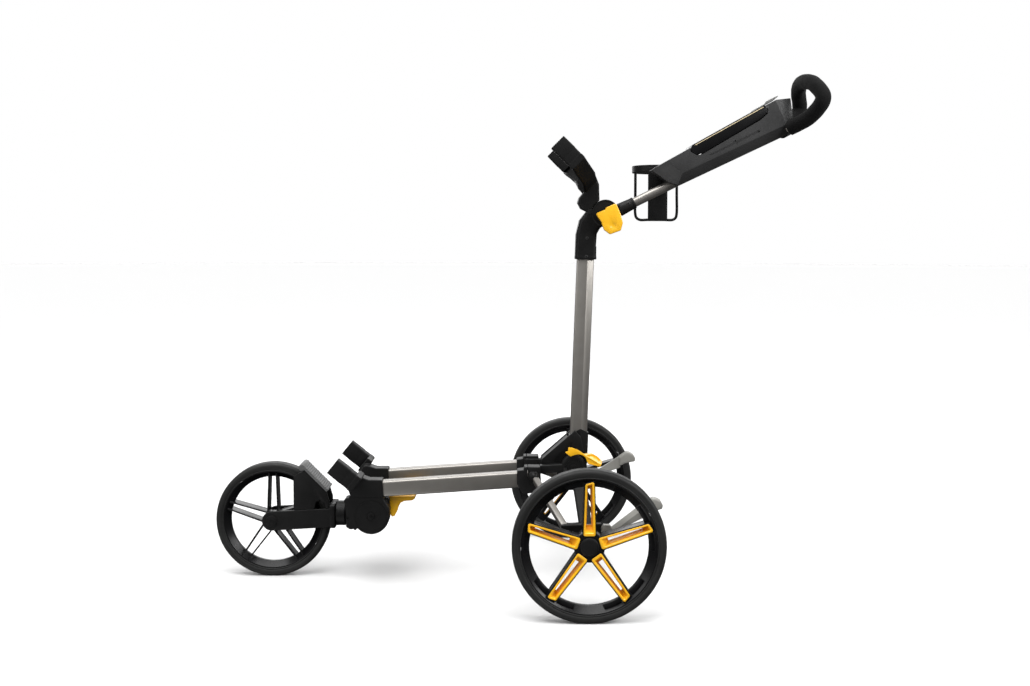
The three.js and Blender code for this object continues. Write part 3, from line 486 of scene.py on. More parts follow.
def placed(name, mesh, material, angle=38):
    mesh.transform(Matrix.Translation(ORIGIN) @ Matrix.Scale(MM, 4))
    mesh.name = name
    mesh.shade_smooth()
    mesh.set_sharp_from_angle(angle=math.radians(angle))
    mesh.materials.clear()
    mesh.materials.append(material)
    return linked(name, mesh)


def surface(node, mesh, slot=None, angle=38):
    """The finished surface of one CAD node."""
    slot = slot or SLOT_OF[node]
    obj = placed(f"{node}_surface", mesh, MATERIALS[slot], angle)
    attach(obj, BODY_OF[node])
    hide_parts(node)
    return obj


def surface_pair(pattern, mesh, slot=None, angle=38):
    """The surface of a left node, and its mirror image on the right."""
    other = mirrored(mesh)
    surface(pattern.format("left"), mesh, slot, angle)
    surface(pattern.format("right"), other, slot, angle)


def detail(name, mesh, body, slot, material=None):
    """A small piece that no CAD node stands for."""
    obj = placed(name, mesh, material or MATERIALS[slot])
    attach(obj, body)
    return obj


def screw(centre, outward, radius, height=1.2):
    """A pan head with a hexagonal socket."""
    outward = Vector(outward).normalized()
    head = rod(Vector(centre) - outward, Vector(centre) + outward * height, radius, edge=0.5, segments=40)
    socket = turned([(0, 0), (0, radius * 0.5), (2, radius * 0.5), (2, 0)],
                    Vector(centre) + outward * (height - 0.9), outward, 6)
    return cut(head, socket)


# ---- wheels

SPOKES = 5
TYRE_DEPTH = 16.7


def around_hub(mesh, centre):
    """A piece drawn along +X from the hub, turned to each spoke. The first spoke points up."""
    place = Matrix.Translation((centre.x, 0, centre.z))
    made = []
    for i in range(SPOKES):
        piece = mesh.copy()
        turn = Matrix.Rotation(-math.pi / 2 - i * 2 * math.pi / SPOKES, 4, "Y")
        piece.transform(place @ turn @ place.inverted())
        made.append(piece)
    return made


def band(side, centre):
    """A ring about the axle. Its section is side, (distance across, radius) points, and their mirror."""
    profile = side + [(-along, reach) for along, reach in reversed(side)]
    return turned(profile, centre, Y_AXIS, 176, ring=True)


def tyre(centre, radius, bead, half):
    """A solid tyre: a lip at the bead, a rounded shoulder and two fine grooves in the tread."""
    shoulder = 7.0
    side = [(half - 1.4, bead), (half - 0.6, bead + 0.5), (half - 0.4, bead + 1.8),
            (half - 1.2, bead + 2.5), (half - 1.2, bead + 3.3), (half - 0.3, bead + 4.0)]
    for k in range(9):
        angle = math.radians(k * 90 / 8)
        side.append((half - shoulder * (1 - math.cos(angle)), radius - shoulder * (1 - math.sin(angle))))
    groove = half - 10.0
    side += [(groove + 0.9, radius), (groove + 0.5, radius - 0.7), (groove - 0.5, radius - 0.7),
             (groove - 0.9, radius)]
    return band(side, centre)


def rim_band(centre, outer, inner):
    """A band that is thin at both edges and slopes in to a narrow flat in the middle."""
    return band([(13.0, outer), (13.0, outer - 1.2), (12.6, outer - 1.9), (11.6, outer - 2.6),
                 (4.2, inner + 1.2), (2.8, inner)], centre)


def arc_block(centre, inner, outer, start, end, y0, y1):
    """A block that follows the rim between two angles in degrees, counted from straight up."""
    steps = 8
    angles = [math.radians(start + (end - start) * k / steps) for k in range(steps + 1)]
    arc = [(centre.x + inner * math.sin(a), centre.z + inner * math.cos(a)) for a in angles]
    arc += [(centre.x + outer * math.sin(a), centre.z + outer * math.cos(a)) for a in reversed(angles)]
    return plate(arc, centre.y + y0, centre.y + y1)


def spoke_outline(r0, r1, half_hub, half_rim, slant):
    """A spoke along +X from radius r0 to r1, with its half widths at the hub and the rim."""
    return [(r0, -half_hub), (r1 + slant, -half_rim), (r1 - slant, half_rim), (r0, half_hub)]


def spoke(centre, r0, r1, half_hub, half_rim, slant, y0, y1, fillet=0.0, edge=0.0):
    outline = [(centre.x + a, centre.z + b) for a, b in spoke_outline(r0, r1, half_hub, half_rim, slant)]
    return plate(outline, centre.y + y0, centre.y + y1, fillet, edge)


def tapered_slot(centre, front, back):
    """A slot in a spoke that narrows from its front outline to its back outline."""
    rows = []
    for y, *sizes, fillet in (front, back):
        rows.append([Vector((p[0], y, p[1])) + centre for p in filleted(spoke_outline(*sizes), fillet)])
    return loft(rows)


def rear_rim(centre):
    y = centre.y
    trough = spoke(centre, 15, 122.5, 13.5, 10, 2.5, -13, 13, fillet=1.5, edge=0.7)
    slot = spoke(centre, 20.7, 121, 11.6, 8.5, 2.5, -15, 11, fillet=3.2)
    window = spoke(centre, 36, 108, 5.6, 3.0, 0, 8, 17, fillet=1.5)
    pockets = []
    for sector in range(SPOKES):
        turn = sector * 360 / SPOKES
        for start, end in ((5.6, 22), (50, 66.4)):
            for low, high in ((-9.4, -4.4), (4.4, 9.4)):
                pockets.append(arc_block(centre, 105, 123.5, turn + start, turn + end, low, high))
    hub = disc(centre, y - 13, y + 15, 29, edge=1.5)
    body = join(cut(rim_band(centre, 128, 112), *pockets), hub, *around_hub(trough, centre))
    seat = drill(centre, 17.9, y - 14, y - 8.5)
    bore = drill(centre, AXLE_HOLE, y - 20, y + 20)
    return cut(body, *around_hub(slot, centre), *around_hub(window, centre), seat, bore)


def spoke_trim(centre):
    y = centre.y
    frame_box = spoke(centre, 21, 120.6, 11.3, 8.2, 2.4, -13.7, 9, fillet=3.4, edge=0.9)
    shoulder = 27, 116.7, 7.3, 4.4, 1.6, 1.8
    mouth = tapered_slot(centre, (-14.2, 25.2, 118.3, 8.8, 5.9, 1.8, 2.6), (-12.2, *shoulder))
    well = tapered_slot(centre, (-12.4, *shoulder), (5, 35, 111, 5.4, 2.9, 0, 1.2))
    slit = spoke(centre, 37.5, 106, 4.7, 2.1, 0, 3, 12, fillet=0.8)
    body = cut(frame_box, mouth, well, slit)
    seat = disc(centre, y - 11.8, y - 8.8, 17.5, edge=0.3)
    bore = drill(centre, 8, y - 20, y + 20)
    return merged(cut(seat, bore), *around_hub(body, centre))


def hub_cap(centre):
    profile = [(0, 0), (0, 17.6), (1.2, 17.5), (2.0, 17.0), (2.5, 16.2), (2.7, 15.3), (2.2, 14.9),
               (2.2, 14.3), (2.7, 13.9), (2.9, 9), (2.9, 0)]
    return turned(profile, centre - Y_AXIS * 12.1, -Y_AXIS)


def front_rim(centre):
    x, y, z = centre
    outline = [(8, 12.6), (98.5, 9.2), (98.5, 6.2), (8, 9.4)]
    blades = [plate([(x + a, z + sign * b) for a, b in outline], y - 14, y + 14, edge=0.8)
              for sign in (-1, 1)]
    hub = disc(centre, y - 16, y + 16, 16, edge=1.5)
    body = join(rim_band(centre, 104, 91), hub, *around_hub(join(*blades), centre))
    return cut(body, drill(centre, AXLE_HOLE, y - 20, y + 20))


def fitted_tyre(node, centre):
    """A tyre as large as the CAD node."""
    low, high = box(node)
    radius = (high.z - low.z) / 2
    return tyre(centre, radius, radius - TYRE_DEPTH, (high.y - low.y) / 2)


def make_wheels():
    surface_pair("rear_{}_tyre", fitted_tyre("rear_left_tyre", REAR_AXLE), angle=50)
    surface_pair("rear_{}_rim", rear_rim(REAR_AXLE))
    surface_pair("rear_{}_spoke_trim", spoke_trim(REAR_AXLE))
    surface_pair("rear_{}_hub_cap", hub_cap(REAR_AXLE))
    surface("front_tyre", fitted_tyre("front_tyre", FRONT_AXLE), angle=50)
    surface("front_rim", front_rim(FRONT_AXLE))


# ---- front arm

FORK_ARM_END, FORK_REAR = -526.0, -518.0
NECK_Z = 132.5


def front_fork():
    x, z, radius = FRONT_AXLE.x, FRONT_AXLE.z, 20.5
    arc = [math.radians(90 + k * 180 / 20) for k in range(21)]
    outline = [(x + radius * math.cos(a), z + radius * math.sin(a)) for a in arc]
    outline += [(FORK_ARM_END, 108), (FORK_ARM_END, 148)]
    arm = plate(outline, -27, -19, edge=1.6)
    bridge = beam((-529.5, 0, 131), (FORK_REAR, 0, 131), Y_AXIS, 28, 26, 7, edge=1.5)
    recess = drill(FRONT_AXLE, 12.5, -28, -26.2)
    body = join(arm, mirrored(arm), bridge)
    bore = drill(FRONT_AXLE, AXLE_HOLE)
    return cut(body, recess, mirrored(recess), bore)


def front_axle():
    bolt = disc(FRONT_AXLE, -29, 29, 5.9, edge=0.4)
    head = disc(FRONT_AXLE, -28.6, -25.9, 11.8, edge=0.9)
    dimple = drill(FRONT_AXLE, 4.5, -30, -27.9)
    cap = cut(join(head, bolt), dimple)
    return join(cap, mirrored(head))


def tracking_collar():
    profile = [(0.3, 0), (0.3, 24.6), (1.8, 26), (19.4, 26), (21, 24.6), (21.2, 22), (31.7, 22), (31.7, 0)]
    return turned(profile, (FORK_REAR, 0, NECK_Z), X_AXIS)


def tracking_knob():
    low, high = box("tracking_knob")
    centre = (low + high) / 2
    length = high.z - low.z
    profile = [(0, 0), (0, 6.2), (1, 7.2), (length - 1.2, 6.7), (length, 5.6), (length, 0)]
    return turned(profile, (centre.x, centre.y, high.z), -UP, 120, flutes=20, flute_depth=0.025)


def front_knuckle():
    body = join(
        disc(FRONT_PIVOT, -41, 41, 33, edge=2),
        beam((-486, 0, 135), (-440, 0, 135), Y_AXIS, 26, 24, 8),
        disc((-469, 157), -26, 26, 14, edge=2),
    )
    return cast(cut(body, drill(FRONT_PIVOT, AXLE_HOLE)))


PAD_LENGTH, PAD_THICKNESS, PAD_HALF_WIDTH = 76.0, 6.0, 28.0
PAD_ALONG, PAD_OUT = Vector((1, 0, -1)).normalized(), Vector((1, 0, 1)).normalized()
PAD_FACE = (Vector(RECORD["mounts"][0]["pos_m"]) - ORIGIN) / MM


def pad_point(s, t):
    """s along the bag base pad from its middle, t above its face."""
    return PAD_FACE + PAD_ALONG * s + PAD_OUT * t


def bag_base_pad():
    """A thin slab with ribs across its face, and a roll along its upper end."""
    pitch, depth, steps = 5.0, 1.4, 8
    half = PAD_LENGTH / 2
    count = round(PAD_LENGTH / pitch * steps)
    face = [(half - PAD_LENGTH * k / count) for k in range(count + 1)]
    outline = [pad_point(s, -depth * (0.5 - 0.5 * math.cos(2 * math.pi * s / pitch))) for s in face]
    outline += [pad_point(-half, -PAD_THICKNESS), pad_point(half, -PAD_THICKNESS)]
    slab = plate([(p.x, p.z) for p in outline], -PAD_HALF_WIDTH, PAD_HALF_WIDTH)
    roll = pad_point(-35, -7)
    return join(slab, disc(roll, -PAD_HALF_WIDTH, PAD_HALF_WIDTH, 7, edge=1.5))


def bag_base_bracket():
    x0, x1 = FRONT_AXLE.x, FORK_ARM_END

    def on_arm(x):
        return x, 141.8 + (x - x0) * 6.5 / (x1 - x0)

    outline = [on_arm(-605.5), (-605.5, 213.1), (-596, 222.5), (-588, 226.3), (-580.8, 228.9),
               (-536.2, 184.4), (-530, 163), on_arm(-530), on_arm(-537), (-540, 160), (-549, 166.5),
               (-558, 161), on_arm(-561)]
    cheek = plate(outline, -26.8, -19.5, fillet=2.5, edge=1.2)
    under = -PAD_THICKNESS - 1.8
    shelf = beam(pad_point(-27, under), pad_point(37, under), Y_AXIS, 26, 1.5, 0.9, edge=0.4)
    return join(cheek, mirrored(cheek), shelf)


def make_front_arm():
    surface("front_fork", front_fork())
    surface("front_axle", front_axle(), "black_plastic")
    surface("tracking_collar", tracking_collar())
    surface("tracking_knob", tracking_knob())
    surface("front_knuckle", front_knuckle())
    surface("bag_base_bracket", bag_base_bracket())
    surface("bag_base_pad", bag_base_pad(), angle=60)


# ---- frame

BAG_ALONG = Vector((0.629, 0, 0.777)).normalized()
BAG_OUT = Vector((-BAG_ALONG.z, 0, BAG_ALONG.x))
LOWER_PAD_FOOT = Vector((-471, -99, 224))
RAIL_Y, RAIL_HALF_WIDTH, RAIL_HALF_HEIGHT = 56.0, 12.5, 16.5
RAIL_FRONT, RAIL_REAR, RAIL_SLOPE = -425.0, -95.0, 0.0681


def rail_point(x):
    return Vector((x, -RAIL_Y, 237 + RAIL_SLOPE * (x - RAIL_REAR) - RAIL_HALF_HEIGHT))


def cradle_pad(foot, out, length):
    """A pad that stands out towards the bag: a thick cap on a slimmer arm, ribbed across its tip."""
    arm = beam(foot - out * 2, foot + out * (length * 0.55), Y_AXIS, 11.7, 17.5, 3, edge=0.6)
    tip = foot + out * length
    cap = beam(foot + out * (length * 0.3), tip, Y_AXIS, 12, 18, 3.2, edge=1.4, end_scale=0.97)
    grooves = []
    for k in range(-3, 4):
        middle = tip + out.cross(Y_AXIS) * (k * 4.4)
        grooves.append(rod(middle - Y_AXIS * 20, middle + Y_AXIS * 20, 1.0, edge=0.1, segments=16))
    return cut(join(arm, cap), *grooves)


def rail_pocket(start, end):
    """The room for the left rail, to cut from what holds it."""
    return beam(rail_point(start), rail_point(end), Y_AXIS, RAIL_HALF_WIDTH + FIT, RAIL_HALF_HEIGHT + FIT, 4)


def front_housing():
    outline = [(-484, 200), (-466, 224), (-457, 225), (-440, 219), (-412.5, 219), (-410, 180),
               (-399.5, 162), (-396.5, 150), (-436, 143), (-470, 112), (-472.7, 118), (-485, 118),
               (-488, 121), (-488, 174), (-479, 186)]
    body = plate(outline, -72, -41.6, fillet=3, edge=1.5)
    wheel = disc(FRONT_PIVOT, -72, -41.6, 38, edge=2.5)
    line = LOWER_PAD_FOOT - BAG_OUT * 7
    arm = beam((line.x, -60, line.z), (line.x, -111, line.z), BAG_ALONG, 18, 6.8, 3, edge=1)
    bump = disc((-485, 174), -72, -41.6, 7, edge=1.5)
    boss = disc(LATCH_PIVOT, -58, -41.6, 7, edge=1)
    seam = block(-500, -395, -80, -71.2, 181.6, 182.5)
    ring = cut(drill(FRONT_PIVOT, 33.5, -80, -71.4), drill(FRONT_PIVOT, 32.4, -90, -60))
    recess = drill(FRONT_PIVOT, 8.4, -80, -70.2)
    dimple = drill((-484.9, 140), 3.5, -80, -69.5)
    moulding = cast(cut(join(body, wheel, arm, bump, boss), rail_pocket(-428, -400)), 0.9, 5, 0.3)
    return cut(moulding, seam, ring, recess, dimple, drill(FRONT_PIVOT, AXLE_HOLE, -90, -30),
               drill(LATCH_PIVOT, SMALL_HOLE, -55, -30))


def front_pivot_pin():
    head = disc(FRONT_PIVOT, -73.2, -69.9, 7.4, edge=0.8)
    dimple = drill(FRONT_PIVOT, 3.2, -75, -72)
    head = cut(head, dimple)
    return join(disc(FRONT_PIVOT, -71, 71, 6, edge=0.2), head, mirrored(head))


def front_latch_lever():
    """Two hooks behind the knuckle's disc, joined by a finger tab with a rounded end."""
    hook = [(-406, 178), (-388.7, 177.7), (-370, 177.7), (-370.1, 167.1), (-381, 161.4), (-384.1, 147.3),
            (-390.3, 135.5), (-395.9, 133.9), (-399.6, 139.5), (-401.1, 153.6), (-399, 165), (-406, 166.5)]
    tab = [(-380, 177.7), (-348.4, 177.7), (-346.9, 173), (-353.1, 168.6), (-370.1, 167.1), (-380, 167)]
    arm = plate(hook, -40, -28, fillet=2, edge=1)
    body = join(arm, mirrored(arm), plate(tab, -40, 40, fillet=2, edge=1.2))
    return cut(body, drill(LATCH_PIVOT, SMALL_HOLE))


def rail():
    return beam(rail_point(RAIL_FRONT), rail_point(RAIL_REAR), Y_AXIS, RAIL_HALF_WIDTH,
                RAIL_HALF_HEIGHT, 4.5, edge=0.5)


STRUT_BALL = Vector((-99, LEG_HINGE.y, LEG_HINGE.z))


def rear_clamp():
    outline = [(-133, 238), (-119, 240), (-118, 246), (-85, 246), (-83, 216), (-98, 192), (-120, 189),
               (-133, 210)]
    body = plate(outline, -71, -42.6, fillet=2.5, edge=1.6)
    groove = block(-112, -110.4, -74, -40, 226, 250)
    stud = rod((STRUT_BALL.x, -70, STRUT_BALL.z), STRUT_BALL, 3.5)
    collar = rod((STRUT_BALL.x, -69, STRUT_BALL.z), (STRUT_BALL.x, -73.6, STRUT_BALL.z), 8, edge=1)
    return join(cut(body, rail_pocket(-140, RAIL_REAR + 1), groove), stud, collar, ball(STRUT_BALL, 8.5))


def rear_hub():
    link = beam((-84.5, -34.2, 234.5), (-14, -34.2, 239), Y_AXIS, 7.7, 8.5, 2.5, edge=1)
    foot = block(-116, -82.6, -42, -34, 225, 241, edge=1)
    dome = disc(MAST_PIVOT, -42, -26, 25.5, edge=3)
    shelf = block(-36, 20, -60, -34, 217, 229, edge=1)
    ears = [block(a, a + 7, -94, -50, 217, 241, edge=1.5) for a in (-36, 13.5)]
    lug = disc(PEDAL_PIVOT, -31.5, -26, 6, edge=0.6)
    lug_foot = plate([(-25, 273), (-30, 245), (-14, 250), (-13, 273)], -31.5, -26, edge=0.5)
    side = join(link, foot, dome, shelf, *ears)
    tube = disc((6, 214), -58, 58, 9, edge=1)
    hinge = rod((-50, LEG_HINGE.y, LEG_HINGE.z), (40, LEG_HINGE.y, LEG_HINGE.z), HINGE_HOLE, edge=0.1)
    side = cut(side, hinge)
    ring = cut(drill(MAST_PIVOT, 17, -46, -41.2), drill(MAST_PIVOT, 15.8, -50, -40))
    body = join(cut(side, ring), mirrored(cut(side, ring)), tube, lug, lug_foot)
    pedal_bore = drill(PEDAL_PIVOT, 3.3, -60, -20)
    return cut(body, drill(MAST_PIVOT, AXLE_HOLE), pedal_bore)


def across(outline, y):
    return [Vector((x, y, z)) for x, z in outline]


def rear_release_pedal():
    """One arm outside the left dome, and a dished tread that narrows towards the centre plane."""
    near, far = -46.6, -4.0
    arm = plate([(-33, 272.5), (-26, 273.5), (-25.2, 281.8), (-17, 281.2), (-5, 276.7), (5, 270), (12, 265),
                 (12, 260), (4, 266), (-4, 267.8), (-12, 266.6), (-20.4, 263.3), (-25, 266)],
                near, -42.4, fillet=1.2, edge=0.5)
    stub = disc(PEDAL_PIVOT, -46, -26.5, 3, edge=0.3)
    tread = loft([
        across([(4.8, 269.6), (39.7, 248.5), (44.5, 247), (41.5, 241), (15.6, 247.6), (9.3, 264)], near),
        across([(26, 262.5), (39, 255.6), (50, 244.5), (47, 239), (29, 245), (25.5, 256)], far),
    ], edge=0.8)
    dish = loft([
        across([(11, 269.5), (24, 262), (38.5, 253), (36, 247.5), (23, 255), (11, 262)], near + 3),
        across([(30, 264), (40, 259), (48.5, 250.5), (44, 245.5), (37.5, 252), (29.5, 257)], far - 3),
    ])
    recess = plate([(14, 262), (35, 249.5), (38.5, 244), (18.5, 249.3)], near - 1, near + 1, fillet=1.5)
    return join(cut(tread, dish, recess), arm, stub)


def make_frame():
    surface_pair("front_housing_{}", front_housing())
    surface_pair("lower_cradle_pad_{}", cradle_pad(LOWER_PAD_FOOT, BAG_OUT, 50))
    surface("front_pivot_pin", front_pivot_pin(), "black_plastic")
    surface("front_latch_lever", front_latch_lever())
    surface_pair("rail_{}", rail())
    surface_pair("rear_clamp_{}", rear_clamp())
    surface("rear_hub", rear_hub())
    surface("rear_release_pedal", rear_release_pedal())


# ---- rear wheel carriers

STRUT_FOOT = Vector((-42, -234.3, 163))
STAND_ROOT, STAND_SHEAR_FROM, STAND_INWARDS = 26.0, 30.0, 18 / 82


def carrier_leg():
    y, z = LEG_HINGE.y, LEG_HINGE.z
    root = rod((-28.5, y, z), (13, y, z), 11.5, edge=1)
    column = beam((-6, y - 2, 226), (-1, -246, 153), X_AXIS, 13.5, 11, 3, edge=1, end_scale=0.85)
    hub = disc(REAR_AXLE, -262, -236, 20, edge=2)
    wing = plate([(-50, 172), (-50, 157), (-12, 134), (12, 134), (38, 158), (38, 176)], -250, -238,
                 fillet=2, edge=1.5)
    hinge = rod((-60, y, z), (60, y, z), HINGE_HOLE, edge=0.1)
    bore = drill(REAR_AXLE, AXLE_HOLE, -300, -200)
    seat = block(STAND_ROOT - 0.3, 60, -251, -235.5, 150, 190)
    return cut(cast(join(root, column, hub, wing), 0.9, 5, 0.3), hinge, bore, seat)


def strut():
    along = (STRUT_FOOT - STRUT_BALL).normalized()
    neck = rod(STRUT_BALL + along * 9.6, STRUT_BALL + along * 16, 5.2, edge=0.5)
    return join(neck, beam(STRUT_BALL + along * 14, STRUT_FOOT, X_AXIS, 6.5, 6.5, 2.6, edge=0.8))


def strut_cup():
    """Two caps on the sides of the ball."""
    x, y = STRUT_BALL.xy
    return cut(ball(STRUT_BALL, 11), ball(STRUT_BALL, 9), block(x - 4.2, x + 4.2, y - 20, y + 20, 200, 260))


def stand():
    """A flat arm with a bevelled upper edge that leans in as it runs back, and a thick foot."""
    arm = plate([(STAND_ROOT, 164), (31, 172.5), (43, 171.3), (47, 166), (110, 210), (114, 200), (112, 184),
                 (107, 181), (92, 174.6), (50, 156.5), (30, 152), (STAND_ROOT, 156)],
                -249, -237, fillet=1.5, edge=0.8)
    up = Vector((-0.573, 0, 0.82))
    bevel = loft([
        [Vector((x, -240.5, z)) + up * 3, Vector((x, -253, z)) + up * 3, Vector((x, -253, z)) - up * 13]
        for x, z in ((46, 165.3), (118, 215.6))
    ])
    foot = plate([(109, 207), (127, 220), (133, 219.5), (143, 214), (147, 205.5), (145.3, 199),
                  (133, 196.5), (121.5, 193), (111, 186)], -258.5, -234.5, fillet=3, edge=3)
    made = join(cut(arm, bevel), foot)
    made.transform(Matrix(((1, 0, 0, 0), (STAND_INWARDS, 1, 0, -STAND_INWARDS * STAND_SHEAR_FROM),
                           (0, 0, 1, 0), (0, 0, 0, 1))))
    return made


def make_carriers():
    surface_pair("carrier_leg_{}", carrier_leg())
    surface_pair("strut_{}", strut())
    cup = strut_cup()
    detail("strut_cup_right", mirrored(cup), "right_carrier", "black_plastic")
    detail("strut_cup_left", cup, "left_carrier", "black_plastic")
    surface_pair("stand_{}", stand())


# ---- mast

MAST_FOOT, MAST_LEAN = -11.9, 0.035
MAST_LOW, MAST_HIGH = 246.0, 702.0


def mast_point(z):
    return Vector((MAST_FOOT + MAST_LEAN * z, 0, z))


def mast_section(z, grow=0.0):
    """The six-sided section, widest at a crease behind its middle, with rounded corners."""
    half = [(-18, -9.5), (3.5, -14), (18, -8.5)]
    outline = [(x * (1 + grow / 18), y * (1 + grow / 14)) for x, y in half]
    outline += [(x, -y) for x, y in reversed(outline)]
    centre = mast_point(z)
    return [centre + Vector((p[0], p[1], 0)) for p in filleted(outline, 2.4, 5)]


def mast_tube():
    tube = loft([mast_section(MAST_LOW), mast_section(MAST_HIGH)], edge=0.4)
    return cut(tube, drill(MAST_PIVOT, 19.4, -40, 40))


def mast_shoe():
    """The foot of the mast: a sleeve whose top edge peaks at the crease, two gussets and a web."""
    sleeve = loft([mast_section(240, 2.6), mast_section(316, 2.6)], edge=0.8)
    peak = mast_point(316)
    fronts = plate([(peak.x - 40, 291), (peak.x - 40, 330), (peak.x + 3, 330), (peak.x + 3, 316)], -40, 40)
    backs = plate([(peak.x + 40, 296), (peak.x + 40, 330), (peak.x + 3, 330), (peak.x + 3, 316)], -40, 40)
    pocket = loft([mast_section(MAST_LOW - 0.3, 0.3), mast_section(330, 0.3)])
    cheek = plate([(-14, 224), (-62, 237), (-82, 246), (-80, 253), (-10, 314), (2, 300), (14, 240)],
                  -23.5, -16.9, fillet=2, edge=1.2)
    lane = plate([(-60, 245), (-22, 245), (-14, 296)], -30, -21.6, fillet=3)
    cheek = cut(cheek, lane)
    web = beam((-79, 0, 249), (-24, 0, 297), Y_AXIS, 20, 2, 0.8, edge=0.5)
    boss = disc(MAST_PIVOT, -25.5, 25.5, 19, edge=1)
    body = cut(join(cut(sleeve, fronts, backs), boss), pocket)
    return cut(join(body, cheek, mirrored(cheek), web), drill(MAST_PIVOT, AXLE_HOLE))


def column(rows):
    """A skin through rounded rectangles in the centre plane. A row is a middle's x and z, the direction
    of the rectangle's length in x and z, half its length, half its width and its corner radius."""
    return loft([section((x, 0, z), (u, 0, w), Y_AXIS, a, b, radius) for x, z, u, w, a, b, radius in rows])


def elbow():
    bend = column([
        (11.8, 676.5, 1, 0, 22.3, 18.5, 8),
        (12.4, 705, 1, 0, 22.0, 18.6, 8),
        (13.6, 730, 1, 0, 22.3, 19, 8),
        (20, 750, 0.93, -0.37, 23.5, 20, 8),
        (36, 768, 0.72, -0.69, 24.5, 21, 8),
        (48, 774, 0.5, -0.86, 25, 22, 8),
    ])
    cuff = beam(mast_point(676.5), mast_point(683), X_AXIS, 22.6, 18.8, 8, edge=0.6)
    bend = cut(bend, block(-30, 44, -30, 30, 782, 820))
    wheel = disc(HANDLE_PIVOT, -22, 22, 28.5, edge=2)
    body = join(bend, cuff, wheel, block(14, 34, -22, 22, 770, 782, edge=1))
    socket = loft([mast_section(670, 0.3), mast_section(MAST_HIGH + 1, 0.3)])
    clevis = drill(HANDLE_PIVOT, 31, -14.8, 14.8)
    fold_room = block(29.6, 90, -14.8, 14.8, MAST_HIGH + 1.5, 752)
    rim = cut(disc(HANDLE_PIVOT, -23.4, -20, 28.2, edge=0.7), drill(HANDLE_PIVOT, 25.4, -30, -10))
    return cut(join(cast(body, 0.9, 5, 0.3), rim), socket, clevis, fold_room,
               drill(HANDLE_PIVOT, HINGE_HOLE))


UPPER_PAD_FOOT = Vector((-20, -99, 881))
UPPER_ALONG = Vector((1, 0, 1)).normalized()
UPPER_OUT = Vector((-1, 0, 1)).normalized()


def upper_cradle():
    stem = column([
        (25, 776, 1, 0, 10, 19, 5),
        (20.5, 783, 1, 0, 19.5, 20.5, 5),
        (17.2, 796, 1, 0, 23, 22, 5),
        (18.4, 806, 1, 0, 21.4, 23, 5),
        (22.6, 817, 1, 0, 16.6, 24.5, 5),
        (20.5, 829, 0.97, 0.24, 18.6, 27, 5),
        (16, 842, 0.86, 0.5, 18, 30, 6),
    ])
    rows = [((16, -4, 830), (-0.2, -0.9, 0.4), 15), ((9, -48, 850), (-0.25, -0.85, 0.45), 12),
            ((-7, -84, 868), (-0.3, -0.85, 0.4), 9), ((-14.5, -111, 875.5), (0, -1, 0), 7)]
    branch = loft([section(middle, UPPER_ALONG, Vector(travel).cross(UPPER_ALONG), 18, half_depth, 4)
                   for middle, travel, half_depth in rows])
    body = join(stem, branch, mirrored(branch))
    return cast(cut(body, drill(HANDLE_PIVOT, 29.1, -40, 40)), 0.9, 7, 0.3)


LEVER_ALONG = Vector((0.928, 0, 0.373)).normalized()
LEVER_DOWN = Vector((LEVER_ALONG.z, 0, -LEVER_ALONG.x))
LEVER_Y = -37.0


def lever_matrix():
    """Turns a shape drawn with x along the lever, z up it and y out of its face into its place."""
    turn = Matrix((LEVER_ALONG, Y_AXIS, -LEVER_DOWN)).transposed().to_4x4()
    return Matrix.Translation((HANDLE_PIVOT.x, LEVER_Y, HANDLE_PIVOT.z)) @ turn


def clamp_lever():
    outline = [(-22, 7), (0.5, 7.3), (3.2, 10.6), (26, 11.1), (26.8, -12.5), (24.4, -32), (14.5, -45.3),
               (-9.5, -44.6), (-17.9, -31), (-16.8, -13.3)]
    body = plate(outline, -5, 5, fillet=4, edge=1.8)
    dent = ball((4, -19.6, -31), 16)
    made = cut(body, dent)
    made.transform(lever_matrix())
    return made


def make_mast():
    surface("mast_tube", mast_tube())
    surface("mast_shoe", mast_shoe())
    surface("elbow", elbow())
    for name, height in (("upper", 721), ("lower", 682)):
        centre = mast_point(height) + Vector((0.5, -18.0, 0))
        detail(f"elbow_screw_{name}", screw(centre, -Y_AXIS, 3.2), "mast", "steel", DARK_SCREW)
    surface("upper_cradle", upper_cradle())
    surface_pair("upper_cradle_pad_{}", cradle_pad(UPPER_PAD_FOOT, UPPER_OUT, 47))
    surface("clamp_lever", clamp_lever())


# ---- handle

HANDLE_ANGLE = math.radians(26.4)
HANDLE_ALONG = Vector((math.cos(HANDLE_ANGLE), 0, math.sin(HANDLE_ANGLE)))
HANDLE_UP = Vector((-HANDLE_ALONG.z, 0, HANDLE_ALONG.x))
HANDLE_DROP, TUBE_RADIUS, TUBE_END = 7.4, 10.0, 160.0


def handle_point(s, t=0.0, y=0.0):
    """s along the tube from its foot, t above its axis and y to its right."""
    return HANDLE_PIVOT + HANDLE_ALONG * s + HANDLE_UP * (t - HANDLE_DROP) + Y_AXIS * y


def handle_knuckle():
    wheel = disc(HANDLE_PIVOT, -14.4, 14.4, 27, edge=1.5)
    sleeve = rod(handle_point(30), handle_point(66), 14, 11.8, edge=0.8)
    lip = rod(handle_point(61.5), handle_point(66.3), 12.6, 12.4, edge=0.8)
    link = beam(handle_point(8, 4), handle_point(34, 1), Y_AXIS, 13, 12, 5)
    body = cast(join(wheel, link, sleeve), 0.8, 5, 0.3)
    socket = rod(handle_point(39.7), handle_point(80), TUBE_RADIUS + FIT, edge=0.1)
    return cut(join(body, lip), drill(HANDLE_PIVOT, HINGE_HOLE), socket)


